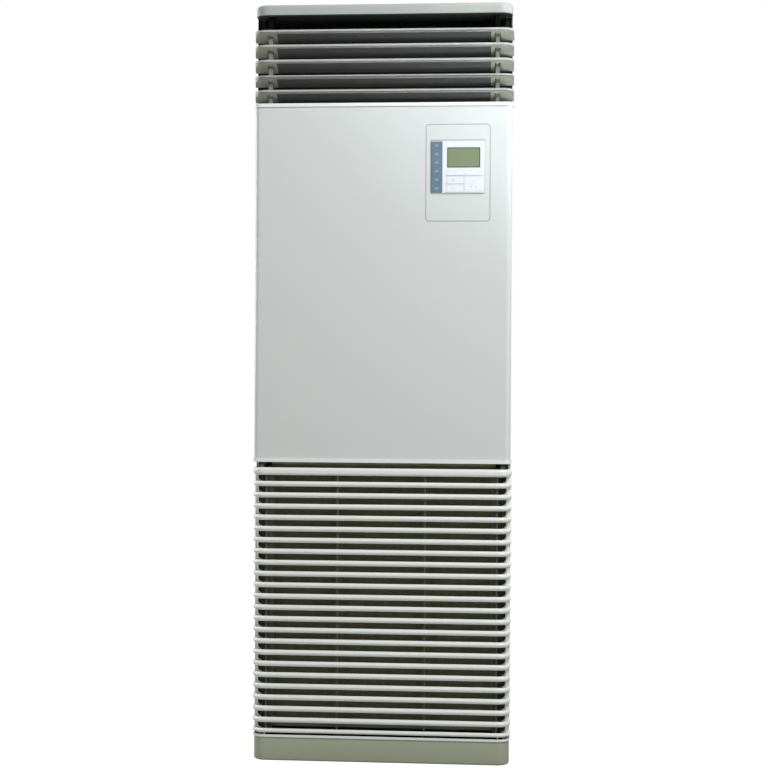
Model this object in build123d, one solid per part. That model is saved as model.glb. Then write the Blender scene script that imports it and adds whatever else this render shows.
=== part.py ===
from build123d import *
from math import asin, cos, degrees, hypot, radians, sin, tan
import os

# Floor standing air conditioner, indoor unit. Millimetres, +Z up, the front faces -Y.
# The origin lies on the floor, under the middle of the outer box.

# ---- Driving dimensions: whole unit ----
WIDTH = 600.0            # over the ends of the grille bars
DEPTH = 210.0            # front of the bars to the rear screw heads
HEIGHT = 1750.0
SHEET = 1.2              # casing steel
FIT_GAP = 0.3            # between pieces that move past each other
RUN_GAP = 0.05           # radial clearance of a pin in its hole
SEAM_GAP = 0.8           # visible seam round a removable cover

CASE_INSET = 3.0         # casing side behind the bar ends
PANEL_INSET = 3.0        # front panel behind the bar faces
FRONT_DEPTH = 47.0       # depth of the front parts that are hung on the casing
CORNER_R = 28.0          # plan corner of bars, louvres and kick plate
FLANGE = 14.0            # inward fold of the side panels
SCREW_HEAD = 1.5         # thickness of a casing screw head
SCREW_HEAD_R = 4.0
SCREW_R = 2.0

FRONT_Y = -DEPTH / 2
BACK_Y = DEPTH / 2 - SCREW_HEAD
CASE_X = WIDTH / 2 - CASE_INSET
PANEL_Y = FRONT_Y + PANEL_INSET
CASE_Y0 = FRONT_Y + FRONT_DEPTH
CASE_Y1 = BACK_Y - SHEET
INNER_X = CASE_X - SHEET
INNER_Y0 = CASE_Y0 + SHEET
INNER_Y1 = CASE_Y1 - SHEET

# ---- Front heights, from the floor up ----
KICK_H = 55.5            # kick plate
KICK_TRIM_H = 5.0
TRIM_H = 8.0             # light strips under and over the front panel
PANEL_Z0 = 701.3
GRILLE_Z0 = KICK_H + KICK_TRIM_H + 4.9   # lowest edge of the inlet grille
GRILLE_Z1 = PANEL_Z0 - TRIM_H - 13.0     # top of its first bar
LAST_BAR_H = 9.0
FIRST_BAR_H = 17.5
BAR_PITCH = 26.1
BAR_H = 12.0
BAR_COUNT = int((GRILLE_Z1 - FIRST_BAR_H - LAST_BAR_H - GRILLE_Z0) / BAR_PITCH)
CAP_H = 24.0
OUTLET_H = 204.3         # opening between the cap and the upper strip
CAP_Z0 = HEIGHT - CAP_H
OUTLET_Z0 = CAP_Z0 - OUTLET_H
PANEL_Z1 = OUTLET_Z0 - TRIM_H

# ---- Casing details ----
KICK_FLANGE = 20.0
TRIM_T = 3.0
TRIM_PROUD = 2.0
PANEL_CORNER_R = 12.0
CAP_WALL = 2.0
CAP_EDGE_R = 8.0
PAN_WALL_H = 40.0
ANCHOR_X = CASE_X - 67.0
ANCHOR_Y = 60.0
ANCHOR_R = 6.0
WALL_PLATE_T = 2.0
WALL_PLATE_H = 30.0
WALL_PLATE_X = CASE_X - 57.0
WALL_HOLE_X = CASE_X - 97.0
WALL_HOLE_R = 4.5
WALL_Z = HEIGHT - 60.0

# ---- Inlet grille and filter ----
BAR_DEPTH = 8.0
BAR_EDGE_R = 4.0
RIB_T = 3.0
RIB_X = 101.0            # middle ribs
RIB_DEPTH = 9.0
GUIDE_X = CASE_X - 30.0  # outer ribs, which also guide the filter
GUIDE_LIP = 8.0
GUIDE_LIP_T = 2.0
POST_T = 6.0             # rear end posts of the grille
POST_DEPTH = 7.2
SWING_GAP = 0.8          # end posts to the casing
CORNER_RIB_W = 7.6       # upright ribs inside the wrapped corners
CORNER_RIB_IN = 12.5     # their inner edge, from the bar ends
CORNER_RIB_T = 3.0
CORNER_RIB_Y = FRONT_Y + 20.0
GUSSET_R = 9.0
GUSSET_FOOT = 2.0
TONGUE_H = 6.0
HINGE_Y = FRONT_Y + 11.5
HINGE_Z = GRILLE_Z0 + 4.6
HINGE_PIN_R = 1.5
HINGE_EYE_R = 3.0
LUG_T = 3.5
CATCH_X = GUIDE_X + 12.0
CATCH_W = 10.0
CATCH_H = 8.0
FILTER_T = 6.0
FILTER_Y = CASE_Y0 - 13.0
FILTER_Z0 = GRILLE_Z0 + 9.9
FILTER_Z1 = GRILLE_Z1 + 2.7
FILTER_BORDER = 12.0
FILTER_BAR = 6.0
MESH_T = 0.6
FILTER_STOP_T = 3.0

# ---- Air outlet ----
VANE_COUNT = 5
VANE_PITCH = 34.6
VANE_TOP = CAP_Z0 - 34.8  # top edge of the first louvre's lip
VANE_LIP = 6.5
VANE_DEPTH = 34.0
VANE_INSET = 1.2         # lips behind the bar faces, which leaves room for their turn
VANE_T = 2.2
VANE_SKIRT_T = 2.5
VANE_TILT = 28.0
VANE_SET = (0.0, 2.0, 2.0, -4.0, 0.0)   # how far each louvre is set from the common tilt
PIVOT_BACK = 19.0        # pivot behind the lip
PIVOT_R = 2.0
POST_X = CASE_X - 34.5
POST_W = 9.0
POST_Y0 = FRONT_Y + 15.0
POST_Y1 = CASE_Y0 - 4.0
NOTCH_GAP = 1.5
NOTCH_FRONT = 8.0        # louvre left in front of the post notch
SNAP_H = 3.4             # mouth of the snap bearing
CHEEK_T = 3.0
CHEEK_DEPTH = 8.5
LINER_T = 2.0
LINER_X = CASE_X - 16.0
LINER_Y1 = BACK_Y - 21.5
SILL_Y1 = CASE_Y0 + 30.0
DEFLECTOR_R = 80.0

# ---- Guide vanes that swing the air left and right ----
GUIDE_COUNT = 6
GUIDE_END_ROOM = 86.0    # last vane to the duct wall
GUIDE_PITCH = 2 * (LINER_X - GUIDE_END_ROOM) / (GUIDE_COUNT - 1)
GUIDE_Y = CASE_Y0 + 21.0
GUIDE_CHORD = 46.0
GUIDE_T = 1.8
GUIDE_END_GAP = 0.5
GUIDE_HEAD = 8.0         # room over the vanes for the link
GUIDE_PIN_R = 2.0
CRANK_R = 14.0
LINK_PIN_R = 1.5
LINK_W = 10.0
LINK_T = 2.0
LINK_END = 8.0
CRANK_X = CASE_X - 62.0
CRANK_HUB_R = 5.0
CRANK_T = 3.0
SHAFT_R = 2.5
SWING_MOTOR_R = 14.0
SWING_MOTOR_H = 16.0

# ---- Fan ----
FAN_Z = 350.0
WHEEL_R = 160.0
BLADE_R0 = 130.0
BELL_Y = INNER_Y0 + 8.8
WHEEL_Y0 = BELL_Y + 20.0
SCROLL_Y1 = INNER_Y1 - 21.6
WHEEL_Y1 = SCROLL_Y1 - 15.5
BLADE_COUNT = 36
BLADE_T = 1.5
DISC_T = 2.0
HUB_R = 25.0
HUB_L = 24.0
FAN_SHAFT_R = 6.0
BELL_THROAT_R = BLADE_R0 - 15.0
BELL_HOLE_R = BELL_THROAT_R + 30.0
BELL_T = 2.0
SCROLL_R0 = WHEEL_R + 15.0
SCROLL_SIDE_ROOM = 25.8  # widest reach of the scroll to the side panel
SCROLL_GROWTH = INNER_X - SCROLL_SIDE_ROOM - SCROLL_R0
SCROLL_TONGUE = 50.0     # angle of the tongue above +X
SCROLL_T = 1.5
SHELF_Z = PANEL_Z0 - 7.3
MOTOR_R = 70.0
MOTOR_L = 20.0
MOTOR_BOSS_L = 18.0
MOTOR_ARM_W = 16.0
MOTOR_ARM_R = 105.0

# ---- Heat exchanger and drain ----
PAN_Z0 = PANEL_Z0 + 283.7
COIL_Z0 = PAN_Z0 + 25.0
COIL_Y0 = CASE_Y0 + 38.0  # middle of the coil's foot
COIL_HEAD = 53.75        # room over the coil, up to the panel's top
COIL_BACK_ROOM = 25.46   # middle of its top to the back panel
COIL_LEAN = INNER_Y1 - COIL_BACK_ROOM - COIL_Y0
COIL_L = hypot(PANEL_Z1 - COIL_HEAD - COIL_Z0, COIL_LEAN)
COIL_TILT = degrees(asin(COIL_LEAN / COIL_L))
COIL_T = 44.0
COIL_X = CASE_X - 72.0
FIN_PITCH = 12.0
FIN_T = 0.6
TUBE_R = 4.75
TUBE_ROWS = 12
TUBE_LANES = 2
TUBE_LANE_GAP = 22.0
END_PLATE_T = 1.5
END_PLATE_EDGE = 3.0
TUBE_STUB = 4.0
PAN_T = 2.0
PAN_H = 40.0
PAN_Y0 = CASE_Y0 + 8.0
PAN_Y1 = INNER_Y1 - 46.1
DRAIN_R = 8.0
DRAIN_X = -(CASE_X - 14.0)
PIPE_Y = BACK_Y - 27.5
PIPE_BEND_R = 13.0
PIPE_EXIT_Z = 140.0
GAS_R = 8.0
GAS_X = CASE_X - 33.0
LIQUID_R = 4.75
LIQUID_X = CASE_X - 14.0
LIQUID_EXIT_Z = 185.0
PIPE_FREE = 5.0          # free ring round a pipe in the back panel
PIPE_END_GAP = 0.5       # pipe end inside the rear line

# ---- Electrics ----
BOX_X0 = CASE_X - 182.0
BOX_Z0 = PANEL_Z0 + 38.7
BOX_Z1 = BOX_Z0 + 220.0
BOX_Y0 = CASE_Y0 + 3.0
BOX_Y1 = BOX_Y0 + 55.0
BOX_T = 1.0
BOARD_T = 1.6
BOARD_EDGE = 12.0
BOARD_STAND = 6.0
TERMINAL_W = 60.0
TERMINAL_H = 22.0
TERMINAL_D = 18.0
GLAND_X = CASE_X - 97.0
GLAND_Z = 150.0
GLAND_R = 8.0
GLAND_OUT_R = 11.0
GLAND_L = 12.0

# ---- Wired controller in the front panel ----
COVER_X1 = CASE_X - 50.3
COVER_X0 = COVER_X1 - 147.3
COVER_Z1 = PANEL_Z1 - 42.5
COVER_Z0 = COVER_Z1 - 221.8
COVER_R = 8.0
COVER_LIP = 6.0
CASE_FACE_Y = PANEL_Y - 2.0
CTRL_X0 = COVER_X0 + 11.9
CTRL_X1 = CTRL_X0 + 122.9
CTRL_Z1 = COVER_Z1 - 37.3
CTRL_Z0 = CTRL_Z1 - 121.4
CTRL_R = 2.0
CTRL_BODY_IN = 0.8       # body behind the cover, inside the face
CTRL_WALL = 1.2
CTRL_DEPTH = 14.0
STRIP_X1 = CTRL_X0 + 26.1
STRIP_T = 1.0
SCREEN_X1 = CTRL_X1 - 10.5
SCREEN_X0 = SCREEN_X1 - 75.5
SCREEN_Z1 = CTRL_Z1 - 16.0
SCREEN_Z0 = SCREEN_Z1 - 46.0
KEY_PAD_X1 = CTRL_X1 - 3.2
KEY_PAD_X0 = KEY_PAD_X1 - 85.0
KEY_SPLIT_X = KEY_PAD_X0 + 41.0
KEY_ROW_0 = CTRL_Z0 + 2.5
KEY_ROW_1 = KEY_ROW_0 + 18.4
KEY_ROW_2 = KEY_ROW_1 + 19.1
KEY_ROW_3 = KEY_ROW_2 + 11.0
KEY_WEB = 1.4            # face left between two keys
KEY_GAP = 0.35
KEY_RISE = 1.0
KEY_LIP = 0.8
KEY_LIP_T = 0.8
KEY_TRAVEL = 0.8
KEY_EDGE_R = 0.4
CTRL_BOARD_T = 1.6
SWITCH_W = 6.0


def block(x0, x1, y0, y1, z0, z1):
    """A box between two corners."""
    return Pos((x0 + x1) / 2, (y0 + y1) / 2, (z0 + z1) / 2) * Box(x1 - x0, y1 - y0, z1 - z0)


def mirrored(shape):
    """A shape and its twin on the other side of the middle plane."""
    return shape + mirror(shape, Plane.YZ)


def rod_x(x0, x1, y, z, r):
    return Pos((x0 + x1) / 2, y, z) * Rot(0, 90, 0) * Cylinder(r, x1 - x0)


def rod_y(x, y0, y1, z, r):
    return Pos(x, (y0 + y1) / 2, z) * Rot(90, 0, 0) * Cylinder(r, y1 - y0)


def rod_z(x, y, z0, z1, r):
    return Pos(x, y, (z0 + z1) / 2) * Cylinder(r, z1 - z0)


def across_y(face, y0, y1):
    """A face drawn in X and Z, made solid from y0 to y1."""
    return Pos(0, y1, 0) * Rot(90, 0, 0) * extrude(face, y1 - y0)


def along_x(face, x0, x1):
    """A face drawn in Y and Z, made solid from x0 to x1."""
    return Pos(x0, 0, 0) * Rot(0, 0, 90) * Rot(90, 0, 0) * extrude(face, x1 - x0)


def plan_body(half, front, back, radius, z0, z1):
    """A block whose two front corners are rounded in plan."""
    centre_y = front + radius
    rear = max(back, centre_y + radius)
    solid = block(-half, half, centre_y, rear, z0, z1)
    solid += block(-half + radius, half - radius, front, rear, z0, z1)
    for side in (-1, 1):
        solid += rod_z(side * (half - radius), centre_y, z0, z1, radius)
    return solid & block(-half, half, front, back, z0, z1)


def wrap(half, front, back, radius, wall, z0, z1):
    """A band that runs round the front and both corners, open at the back."""
    outer = plan_body(half, front, back, radius, z0, z1)
    return outer - plan_body(half - wall, front + wall, back + wall, radius - wall, z0, z1)


def save(name, shape):
    """Write one piece, or one group of like pieces, to its file."""
    solids = list(shape) if isinstance(shape, (list, tuple)) else shape.solids()
    whole = solids[0] if len(solids) == 1 else Compound(children=solids)
    export_step(whole, f"parts/{name}.step")


# ---- Casing ----

def base_pan():
    """Folded floor tray with four anchor holes."""
    outer = block(-INNER_X, INNER_X, INNER_Y0, INNER_Y1, 0, PAN_WALL_H)
    inner = block(-INNER_X + SHEET, INNER_X - SHEET, INNER_Y0 + SHEET, INNER_Y1 - SHEET, SHEET, PAN_WALL_H)
    pan = outer - inner
    middle_y = (INNER_Y0 + INNER_Y1) / 2
    for x in (-ANCHOR_X, ANCHOR_X):
        for y in (middle_y - ANCHOR_Y, middle_y + ANCHOR_Y):
            pan -= rod_z(x, y, -1, SHEET + 1, ANCHOR_R)
    return pan


def kick_plate():
    """Low front plate with an inward fold along its top, where the grille hinges stand."""
    skin = wrap(CASE_X, PANEL_Y, CASE_Y0, CORNER_R, SHEET, 0, KICK_H)
    fold = plan_body(CASE_X - SHEET, PANEL_Y + SHEET, PANEL_Y + KICK_FLANGE, CORNER_R - SHEET, KICK_H - SHEET, KICK_H)
    return skin + fold


def side_panel(side):
    """Side sheet with a fold along its front and rear edges."""
    sheet = block(INNER_X, CASE_X, CASE_Y0, CASE_Y1, 0, CAP_Z0)
    fold_top = CAP_Z0 - LINER_T
    front = block(CASE_X - FLANGE - SHEET, INNER_X, CASE_Y0, INNER_Y0, 0, fold_top)
    rear = block(CASE_X - FLANGE - SHEET, INNER_X, INNER_Y1, CASE_Y1, 0, fold_top)
    panel = sheet + front + rear
    for x, z, r in pipe_exits():
        panel -= rod_y(abs(x), INNER_Y1 - 1, CASE_Y1 + 1, z, r + PIPE_FREE)
    return panel if side > 0 else mirror(panel, Plane.YZ)


def pipe_exits():
    """Places of the pipes in the back panel: x, height and radius."""
    return ((GAS_X, PIPE_EXIT_Z, GAS_R), (LIQUID_X, LIQUID_EXIT_Z, LIQUID_R), (DRAIN_X, PIPE_EXIT_Z, DRAIN_R))


def screw_places():
    """Screws along both rear folds: x and height."""
    x = CASE_X - FLANGE / 2
    step = (CAP_Z0 - 2 * PAN_WALL_H) / 6
    return [(side * x, PAN_WALL_H + step * i + PAN_WALL_H / 2) for side in (-1, 1) for i in range(6)]


def back_panel():
    panel = block(-CASE_X, CASE_X, CASE_Y1, BACK_Y, 0, CAP_Z0)
    for x, z, r in pipe_exits():
        panel -= rod_y(x, CASE_Y1 - 1, BACK_Y + 1, z, r + PIPE_FREE)
    panel -= rod_y(GLAND_X, CASE_Y1 - 1, BACK_Y + 1, GLAND_Z, GLAND_OUT_R)
    for x in (-WALL_HOLE_X, WALL_HOLE_X):
        panel -= rod_y(x, CASE_Y1 - 1, BACK_Y + 1, WALL_Z, WALL_HOLE_R)
    for x, z in screw_places():
        panel -= rod_y(x, CASE_Y1 - 1, BACK_Y + 1, z, SCREW_R + FIT_GAP)
    return panel


def casing_screws():
    """Pan head screws that hold the back panel to the side folds."""
    return [rod_y(x, BACK_Y, BACK_Y + SCREW_HEAD, z, SCREW_HEAD_R) + rod_y(x, CASE_Y1, BACK_Y, z, SCREW_R)
            for x, z in screw_places()]


def wall_plate():
    """Strip inside the back panel that takes the two wall screws."""
    plate = block(-WALL_PLATE_X, WALL_PLATE_X, CASE_Y1 - WALL_PLATE_T, CASE_Y1,
                  WALL_Z - WALL_PLATE_H / 2, WALL_Z + WALL_PLATE_H / 2)
    for x in (-WALL_HOLE_X, WALL_HOLE_X):
        plate -= rod_y(x, CASE_Y1 - WALL_PLATE_T - 1, CASE_Y1 + 1, WALL_Z, WALL_HOLE_R)
    return plate


def top_cap():
    """Deep lid, open below, with rounded top edges."""
    outer = plan_body(CASE_X, PANEL_Y, BACK_Y, CORNER_R, CAP_Z0, HEIGHT)
    outer = fillet(outer.edges().group_by(Axis.Z)[-1], CAP_EDGE_R)
    inner = plan_body(CASE_X - CAP_WALL, PANEL_Y + CAP_WALL, BACK_Y - CAP_WALL, CORNER_R - CAP_WALL,
                      CAP_Z0, HEIGHT - CAP_WALL)
    inner = fillet(inner.edges().group_by(Axis.Z)[-1], CAP_EDGE_R - CAP_WALL)
    return outer - inner


def front_panel():
    """Folded front sheet with an opening for the controller cover."""
    skin = wrap(CASE_X, PANEL_Y, CASE_Y0, PANEL_CORNER_R, SHEET, PANEL_Z0, PANEL_Z1)
    for z in (PANEL_Z0, PANEL_Z1 - SHEET):
        skin += plan_body(CASE_X - SHEET, PANEL_Y + SHEET, PANEL_Y + KICK_FLANGE, PANEL_CORNER_R - SHEET, z, z + SHEET)
    return skin - cover_plate_block(SEAM_GAP, PANEL_Y - 1, PANEL_Y + SHEET + 1)


def casing_trims():
    """Light strips: over the kick plate, and under and over the front panel."""
    half = CASE_X + TRIM_PROUD
    front = PANEL_Y - TRIM_PROUD
    kick = wrap(half, front, CASE_Y0, CORNER_R, TRIM_T, KICK_H, KICK_H + KICK_TRIM_H)
    radius = PANEL_CORNER_R + TRIM_PROUD
    lower = wrap(half, front, CASE_Y0, radius, TRIM_T, PANEL_Z0 - TRIM_H, PANEL_Z0)
    upper = wrap(half, front, CASE_Y0, radius, TRIM_T, PANEL_Z1, OUTLET_Z0)
    return [kick, lower, upper]


def cross_rail():
    """Shelf between fan and coil, with a folded front rail, open over the fan outlet."""
    shelf = block(-INNER_X, INNER_X, INNER_Y0, INNER_Y1, SHELF_Z, SHELF_Z + SHEET)
    rail = block(-INNER_X, INNER_X, INNER_Y0, INNER_Y0 + SHEET, SHELF_Z, SHELF_Z + PAN_WALL_H)
    mouth = block(-scroll_end_x(), scroll_tongue()[0], BELL_Y + SHEET, SCROLL_Y1 - SCROLL_T,
                  SHELF_Z - 1, SHELF_Z + SHEET + 1)
    shelf -= mouth
    for x, z, r in pipe_exits():
        shelf -= rod_z(x, PIPE_Y, SHELF_Z - 1, SHELF_Z + SHEET + 1, r)
    return shelf + rail


# ---- Inlet grille, its hinges and the filter ----

def grille_bar(z0, z1):
    """One bar that wraps both corners, with rounded outer edges."""
    back = CASE_Y0 - SWING_GAP
    solid = plan_body(WIDTH / 2, FRONT_Y, back, CORNER_R, z0, z1)
    front_edges = [e for e in solid.edges() if e.center().Y < back - 1 and abs(e.tangent_at(0.5).Z) < 0.1]
    solid = fillet(front_edges, BAR_EDGE_R)
    cut = plan_body(WIDTH / 2 - BAR_DEPTH, FRONT_Y + BAR_DEPTH, back + 1, CORNER_R - BAR_DEPTH, z0 - 1, z1 + 1)
    return solid - cut


def bar_heights():
    """Lower and upper edge of every bar, from the top one down."""
    rows = [(GRILLE_Z1 - FIRST_BAR_H, GRILLE_Z1)]
    gap = BAR_PITCH - BAR_H
    top = GRILLE_Z1 - FIRST_BAR_H - gap
    for i in range(BAR_COUNT):
        rows.append((top - i * BAR_PITCH - BAR_H, top - i * BAR_PITCH))
    rows.append((GRILLE_Z0, GRILLE_Z0 + LAST_BAR_H))
    return rows


def corner_rib():
    """Upright rib inside a corner, with a rounded gusset over each bar."""
    inner = WIDTH / 2 - CORNER_RIB_IN
    rear = CORNER_RIB_Y + CORNER_RIB_T
    rib = block(inner, inner + CORNER_RIB_W, CORNER_RIB_Y, rear, GRILLE_Z0, GRILLE_Z1)
    for _, z in bar_heights()[1:]:
        gusset = block(inner - GUSSET_R, inner, CORNER_RIB_Y, rear, z - GUSSET_FOOT, z + GUSSET_R)
        gusset -= rod_y(inner - GUSSET_R, CORNER_RIB_Y - 1, rear + 1, z + GUSSET_R, GUSSET_R)
        rib += gusset
    return rib


def inlet_grille():
    """Moulded grille: wrapped bars on ribs, with hinge pins and filter guides."""
    back = FRONT_Y + BAR_DEPTH
    grille = block(-RIB_X - RIB_T / 2, -RIB_X + RIB_T / 2, back, back + RIB_DEPTH, GRILLE_Z0, GRILLE_Z1)
    grille = mirrored(grille)
    guide_in = GUIDE_X - RIB_T / 2
    guide_out = GUIDE_X + RIB_T / 2
    lip_front = FILTER_Y - FILTER_T / 2 - FIT_GAP
    lip_back = FILTER_Y + FILTER_T / 2 + FIT_GAP
    guide = block(guide_in, guide_out, back, lip_back + GUIDE_LIP_T, GRILLE_Z0, GRILLE_Z1)
    guide += block(guide_in - GUIDE_LIP, guide_in, lip_front - GUIDE_LIP_T, lip_front, GRILLE_Z0, GRILLE_Z1)
    guide += block(guide_in - GUIDE_LIP, guide_in, lip_back, lip_back + GUIDE_LIP_T, GRILLE_Z0, GRILLE_Z1)
    stop_z = FILTER_Z0 - FIT_GAP
    guide += block(guide_in - GUIDE_LIP, guide_in, lip_front, lip_back, stop_z - FILTER_STOP_T, stop_z)
    post_back = CASE_Y0 - SWING_GAP
    inner_x = WIDTH / 2 - BAR_DEPTH
    guide += block(inner_x, inner_x + POST_T, post_back - POST_DEPTH, post_back, GRILLE_Z0, GRILLE_Z1)
    guide += corner_rib()
    guide += rod_x(guide_out - RIB_T / 2, GUIDE_X + RIB_T + LUG_T + 2 * FIT_GAP, HINGE_Y, HINGE_Z, HINGE_PIN_R)
    guide += block(CATCH_X - CATCH_W / 2, CATCH_X + CATCH_W / 2, back, back + RIB_DEPTH,
                   GRILLE_Z1 - 1, GRILLE_Z1 + TONGUE_H)
    grille += mirrored(guide)
    for z0, z1 in bar_heights():
        grille += grille_bar(z0, z1)
    return grille


def grille_hinges():
    """Two lugs on the kick plate's fold, each with an eye round a grille pin."""
    x0 = GUIDE_X + RIB_T / 2 + 2 * FIT_GAP
    lug = rod_x(x0, x0 + LUG_T, HINGE_Y, HINGE_Z, HINGE_EYE_R)
    lug += block(x0, x0 + LUG_T, HINGE_Y, HINGE_Y + HINGE_EYE_R, KICK_H, HINGE_Z)
    lug -= rod_x(x0 - 1, x0 + LUG_T + 1, HINGE_Y, HINGE_Z, HINGE_PIN_R + RUN_GAP)
    return mirrored(lug)


def grille_catches():
    """Two spring catches on the front rail that hold the grille's tongues."""
    tongue_back = FRONT_Y + BAR_DEPTH + RIB_DEPTH
    arm = block(CATCH_X - CATCH_W / 2, CATCH_X + CATCH_W / 2, tongue_back + FIT_GAP, INNER_Y0,
                GRILLE_Z1 + TONGUE_H / 2 - CATCH_H / 2, GRILLE_Z1 + TONGUE_H / 2 + CATCH_H / 2)
    foot = block(CATCH_X - CATCH_W / 2, CATCH_X + CATCH_W / 2, CASE_Y0 - SHEET, CASE_Y0,
                 GRILLE_Z1 + TONGUE_H / 2, SHELF_Z + PAN_WALL_H)
    arm -= block(CATCH_X - CATCH_W, CATCH_X + CATCH_W, CASE_Y0, INNER_Y0, 0, HEIGHT)
    return mirrored(arm + foot)


def air_filter_frame():
    half = GUIDE_X - RIB_T / 2 - FIT_GAP
    y0 = FILTER_Y - FILTER_T / 2
    y1 = FILTER_Y + FILTER_T / 2
    frame = block(-half, half, y0, y1, FILTER_Z0, FILTER_Z1)
    frame -= block(-half + FILTER_BORDER, half - FILTER_BORDER, y0 - 1, y1 + 1,
                   FILTER_Z0 + FILTER_BORDER, FILTER_Z1 - FILTER_BORDER)
    third = (FILTER_Z1 - FILTER_Z0) / 3
    for i in (1, 2):
        z = FILTER_Z0 + i * third
        frame += block(-half, half, y0, y1, z - FILTER_BAR / 2, z + FILTER_BAR / 2)
    frame -= filter_sheet(half)
    return frame


def filter_sheet(half):
    """Space of the net, let into the frame by half its border."""
    edge = FILTER_BORDER / 2
    return block(-half + edge, half - edge, FILTER_Y - MESH_T / 2, FILTER_Y + MESH_T / 2,
                 FILTER_Z0 + edge, FILTER_Z1 - edge)


def air_filter_mesh():
    return filter_sheet(GUIDE_X - RIB_T / 2 - FIT_GAP)


# ---- Air outlet ----

VANE_Y = FRONT_Y + VANE_INSET


def vane_top(index):
    return VANE_TOP - index * VANE_PITCH


def vane_pivot(index):
    """Height of a louvre's pivot, in the middle of its blade."""
    drop = VANE_LIP + PIVOT_BACK * tan(radians(VANE_TILT)) - VANE_T / cos(radians(VANE_TILT)) / 2
    return vane_top(index) - drop


def below_blade(top, lift):
    """Everything under a plane that runs with the louvre's underside, lifted by some height."""
    slope = tan(radians(VANE_TILT))
    y0 = VANE_Y - 5
    y1 = VANE_Y + 2 * VANE_DEPTH
    edge_z = top - VANE_LIP + lift
    face = make_face(Polyline((y0, edge_z + 5 * slope), (y1, edge_z - 2 * VANE_DEPTH * slope),
                              (y1, top - 4 * VANE_DEPTH), (y0, top - 4 * VANE_DEPTH), close=True))
    return along_x(face, -WIDTH, WIDTH)


def air_vane(index):
    """Louvre with a front lip, skirts round both corners, and pins across the post notches."""
    top = vane_top(index)
    back = VANE_Y + VANE_DEPTH
    thick = VANE_T / cos(radians(VANE_TILT))
    outline = plan_body(WIDTH / 2, VANE_Y, back, CORNER_R, top - 2 * VANE_DEPTH, top)
    blade = (outline & below_blade(top, thick)) - below_blade(top, 0)
    lip = wrap(WIDTH / 2, VANE_Y, back, CORNER_R, VANE_SKIRT_T, top - 2 * VANE_DEPTH, top)
    vane = blade + (lip - below_blade(top, 0))
    pivot_y = VANE_Y + PIVOT_BACK
    pivot_z = vane_pivot(index)
    inner = POST_X - POST_W / 2 - NOTCH_GAP
    outer = POST_X + POST_W / 2 + NOTCH_GAP
    notch = block(inner, outer, VANE_Y + NOTCH_FRONT, back + 1, top - 3 * VANE_DEPTH, top + 1)
    vane -= mirrored(notch)
    pin = rod_x(inner - NOTCH_GAP, outer + NOTCH_GAP, pivot_y, pivot_z, PIVOT_R)
    vane += mirrored(pin)
    turn = Pos(0, pivot_y, pivot_z) * Rot(-VANE_SET[index], 0, 0) * Pos(0, -pivot_y, -pivot_z)
    return turn * vane


def outlet_posts():
    """Two posts with a snap bearing for each louvre."""
    post = block(POST_X - POST_W / 2, POST_X + POST_W / 2, POST_Y0, POST_Y1, sill_top(), CAP_Z0 - LINER_T)
    pivot_y = VANE_Y + PIVOT_BACK
    for i in range(VANE_COUNT):
        z = vane_pivot(i)
        post -= rod_x(POST_X - POST_W, POST_X + POST_W, pivot_y, z, PIVOT_R + RUN_GAP)
        post -= block(POST_X - POST_W, POST_X + POST_W, POST_Y0 - 1, pivot_y, z - SNAP_H / 2, z + SNAP_H / 2)
    return mirrored(post)


def outlet_cheeks():
    """Side walls of the outlet behind the louvre ends."""
    cheek = block(INNER_X - CHEEK_T, INNER_X, CASE_Y0 - CHEEK_DEPTH, CASE_Y0, sill_top(), CAP_Z0 - LINER_T)
    return mirrored(cheek)


def sill_top():
    return PANEL_Z1 + LINER_T + SHEET


def liner_plate(front, back, z0):
    """Plate across the unit, clear of the folds of the side panels."""
    plate = plan_body(INNER_X, front, back, CORNER_R - TRIM_T, z0, z0 + LINER_T)
    return plate - mirrored(block(CASE_X - FLANGE - SHEET, CASE_X, CASE_Y0, INNER_Y0, z0 - 1, z0 + LINER_T + 1))


def outlet_liner():
    """Dark duct behind the louvres: soffit, sill, side walls, back wall and a curved deflector."""
    ceiling = CAP_Z0 - LINER_T
    sill_z = sill_top() - LINER_T
    soffit = plan_body(INNER_X, PANEL_Y + CAP_WALL - 1, INNER_Y1, CORNER_R - CAP_WALL, ceiling, CAP_Z0)
    duct = soffit + liner_plate(FRONT_Y + 1 + TRIM_T, SILL_Y1, sill_z)
    wall = block(LINER_X - LINER_T, LINER_X, INNER_Y0, LINER_Y1, sill_z, ceiling)
    duct += mirrored(wall)
    duct += block(-LINER_X, LINER_X, LINER_Y1, LINER_Y1 + LINER_T, sill_z, ceiling)
    corner = block(-LINER_X, LINER_X, LINER_Y1 - DEFLECTOR_R, LINER_Y1, ceiling - DEFLECTOR_R, ceiling)
    corner -= rod_x(-WIDTH, WIDTH, LINER_Y1 - DEFLECTOR_R, ceiling - DEFLECTOR_R, DEFLECTOR_R - LINER_T)
    duct += corner
    for i in range(GUIDE_COUNT):
        duct -= rod_z(guide_x(i), GUIDE_Y, sill_z - 1, HEIGHT, GUIDE_PIN_R + RUN_GAP)
    duct -= rod_z(CRANK_X, GUIDE_Y, ceiling - 1, HEIGHT, SHAFT_R + RUN_GAP)
    return duct


# ---- Guide vanes, link and swing motor ----

def guide_x(index):
    return (index - (GUIDE_COUNT - 1) / 2) * GUIDE_PITCH


def link_z():
    """Underside of the link bar."""
    return CAP_Z0 - LINER_T - GUIDE_HEAD + GUIDE_END_GAP + LINK_T


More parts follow.
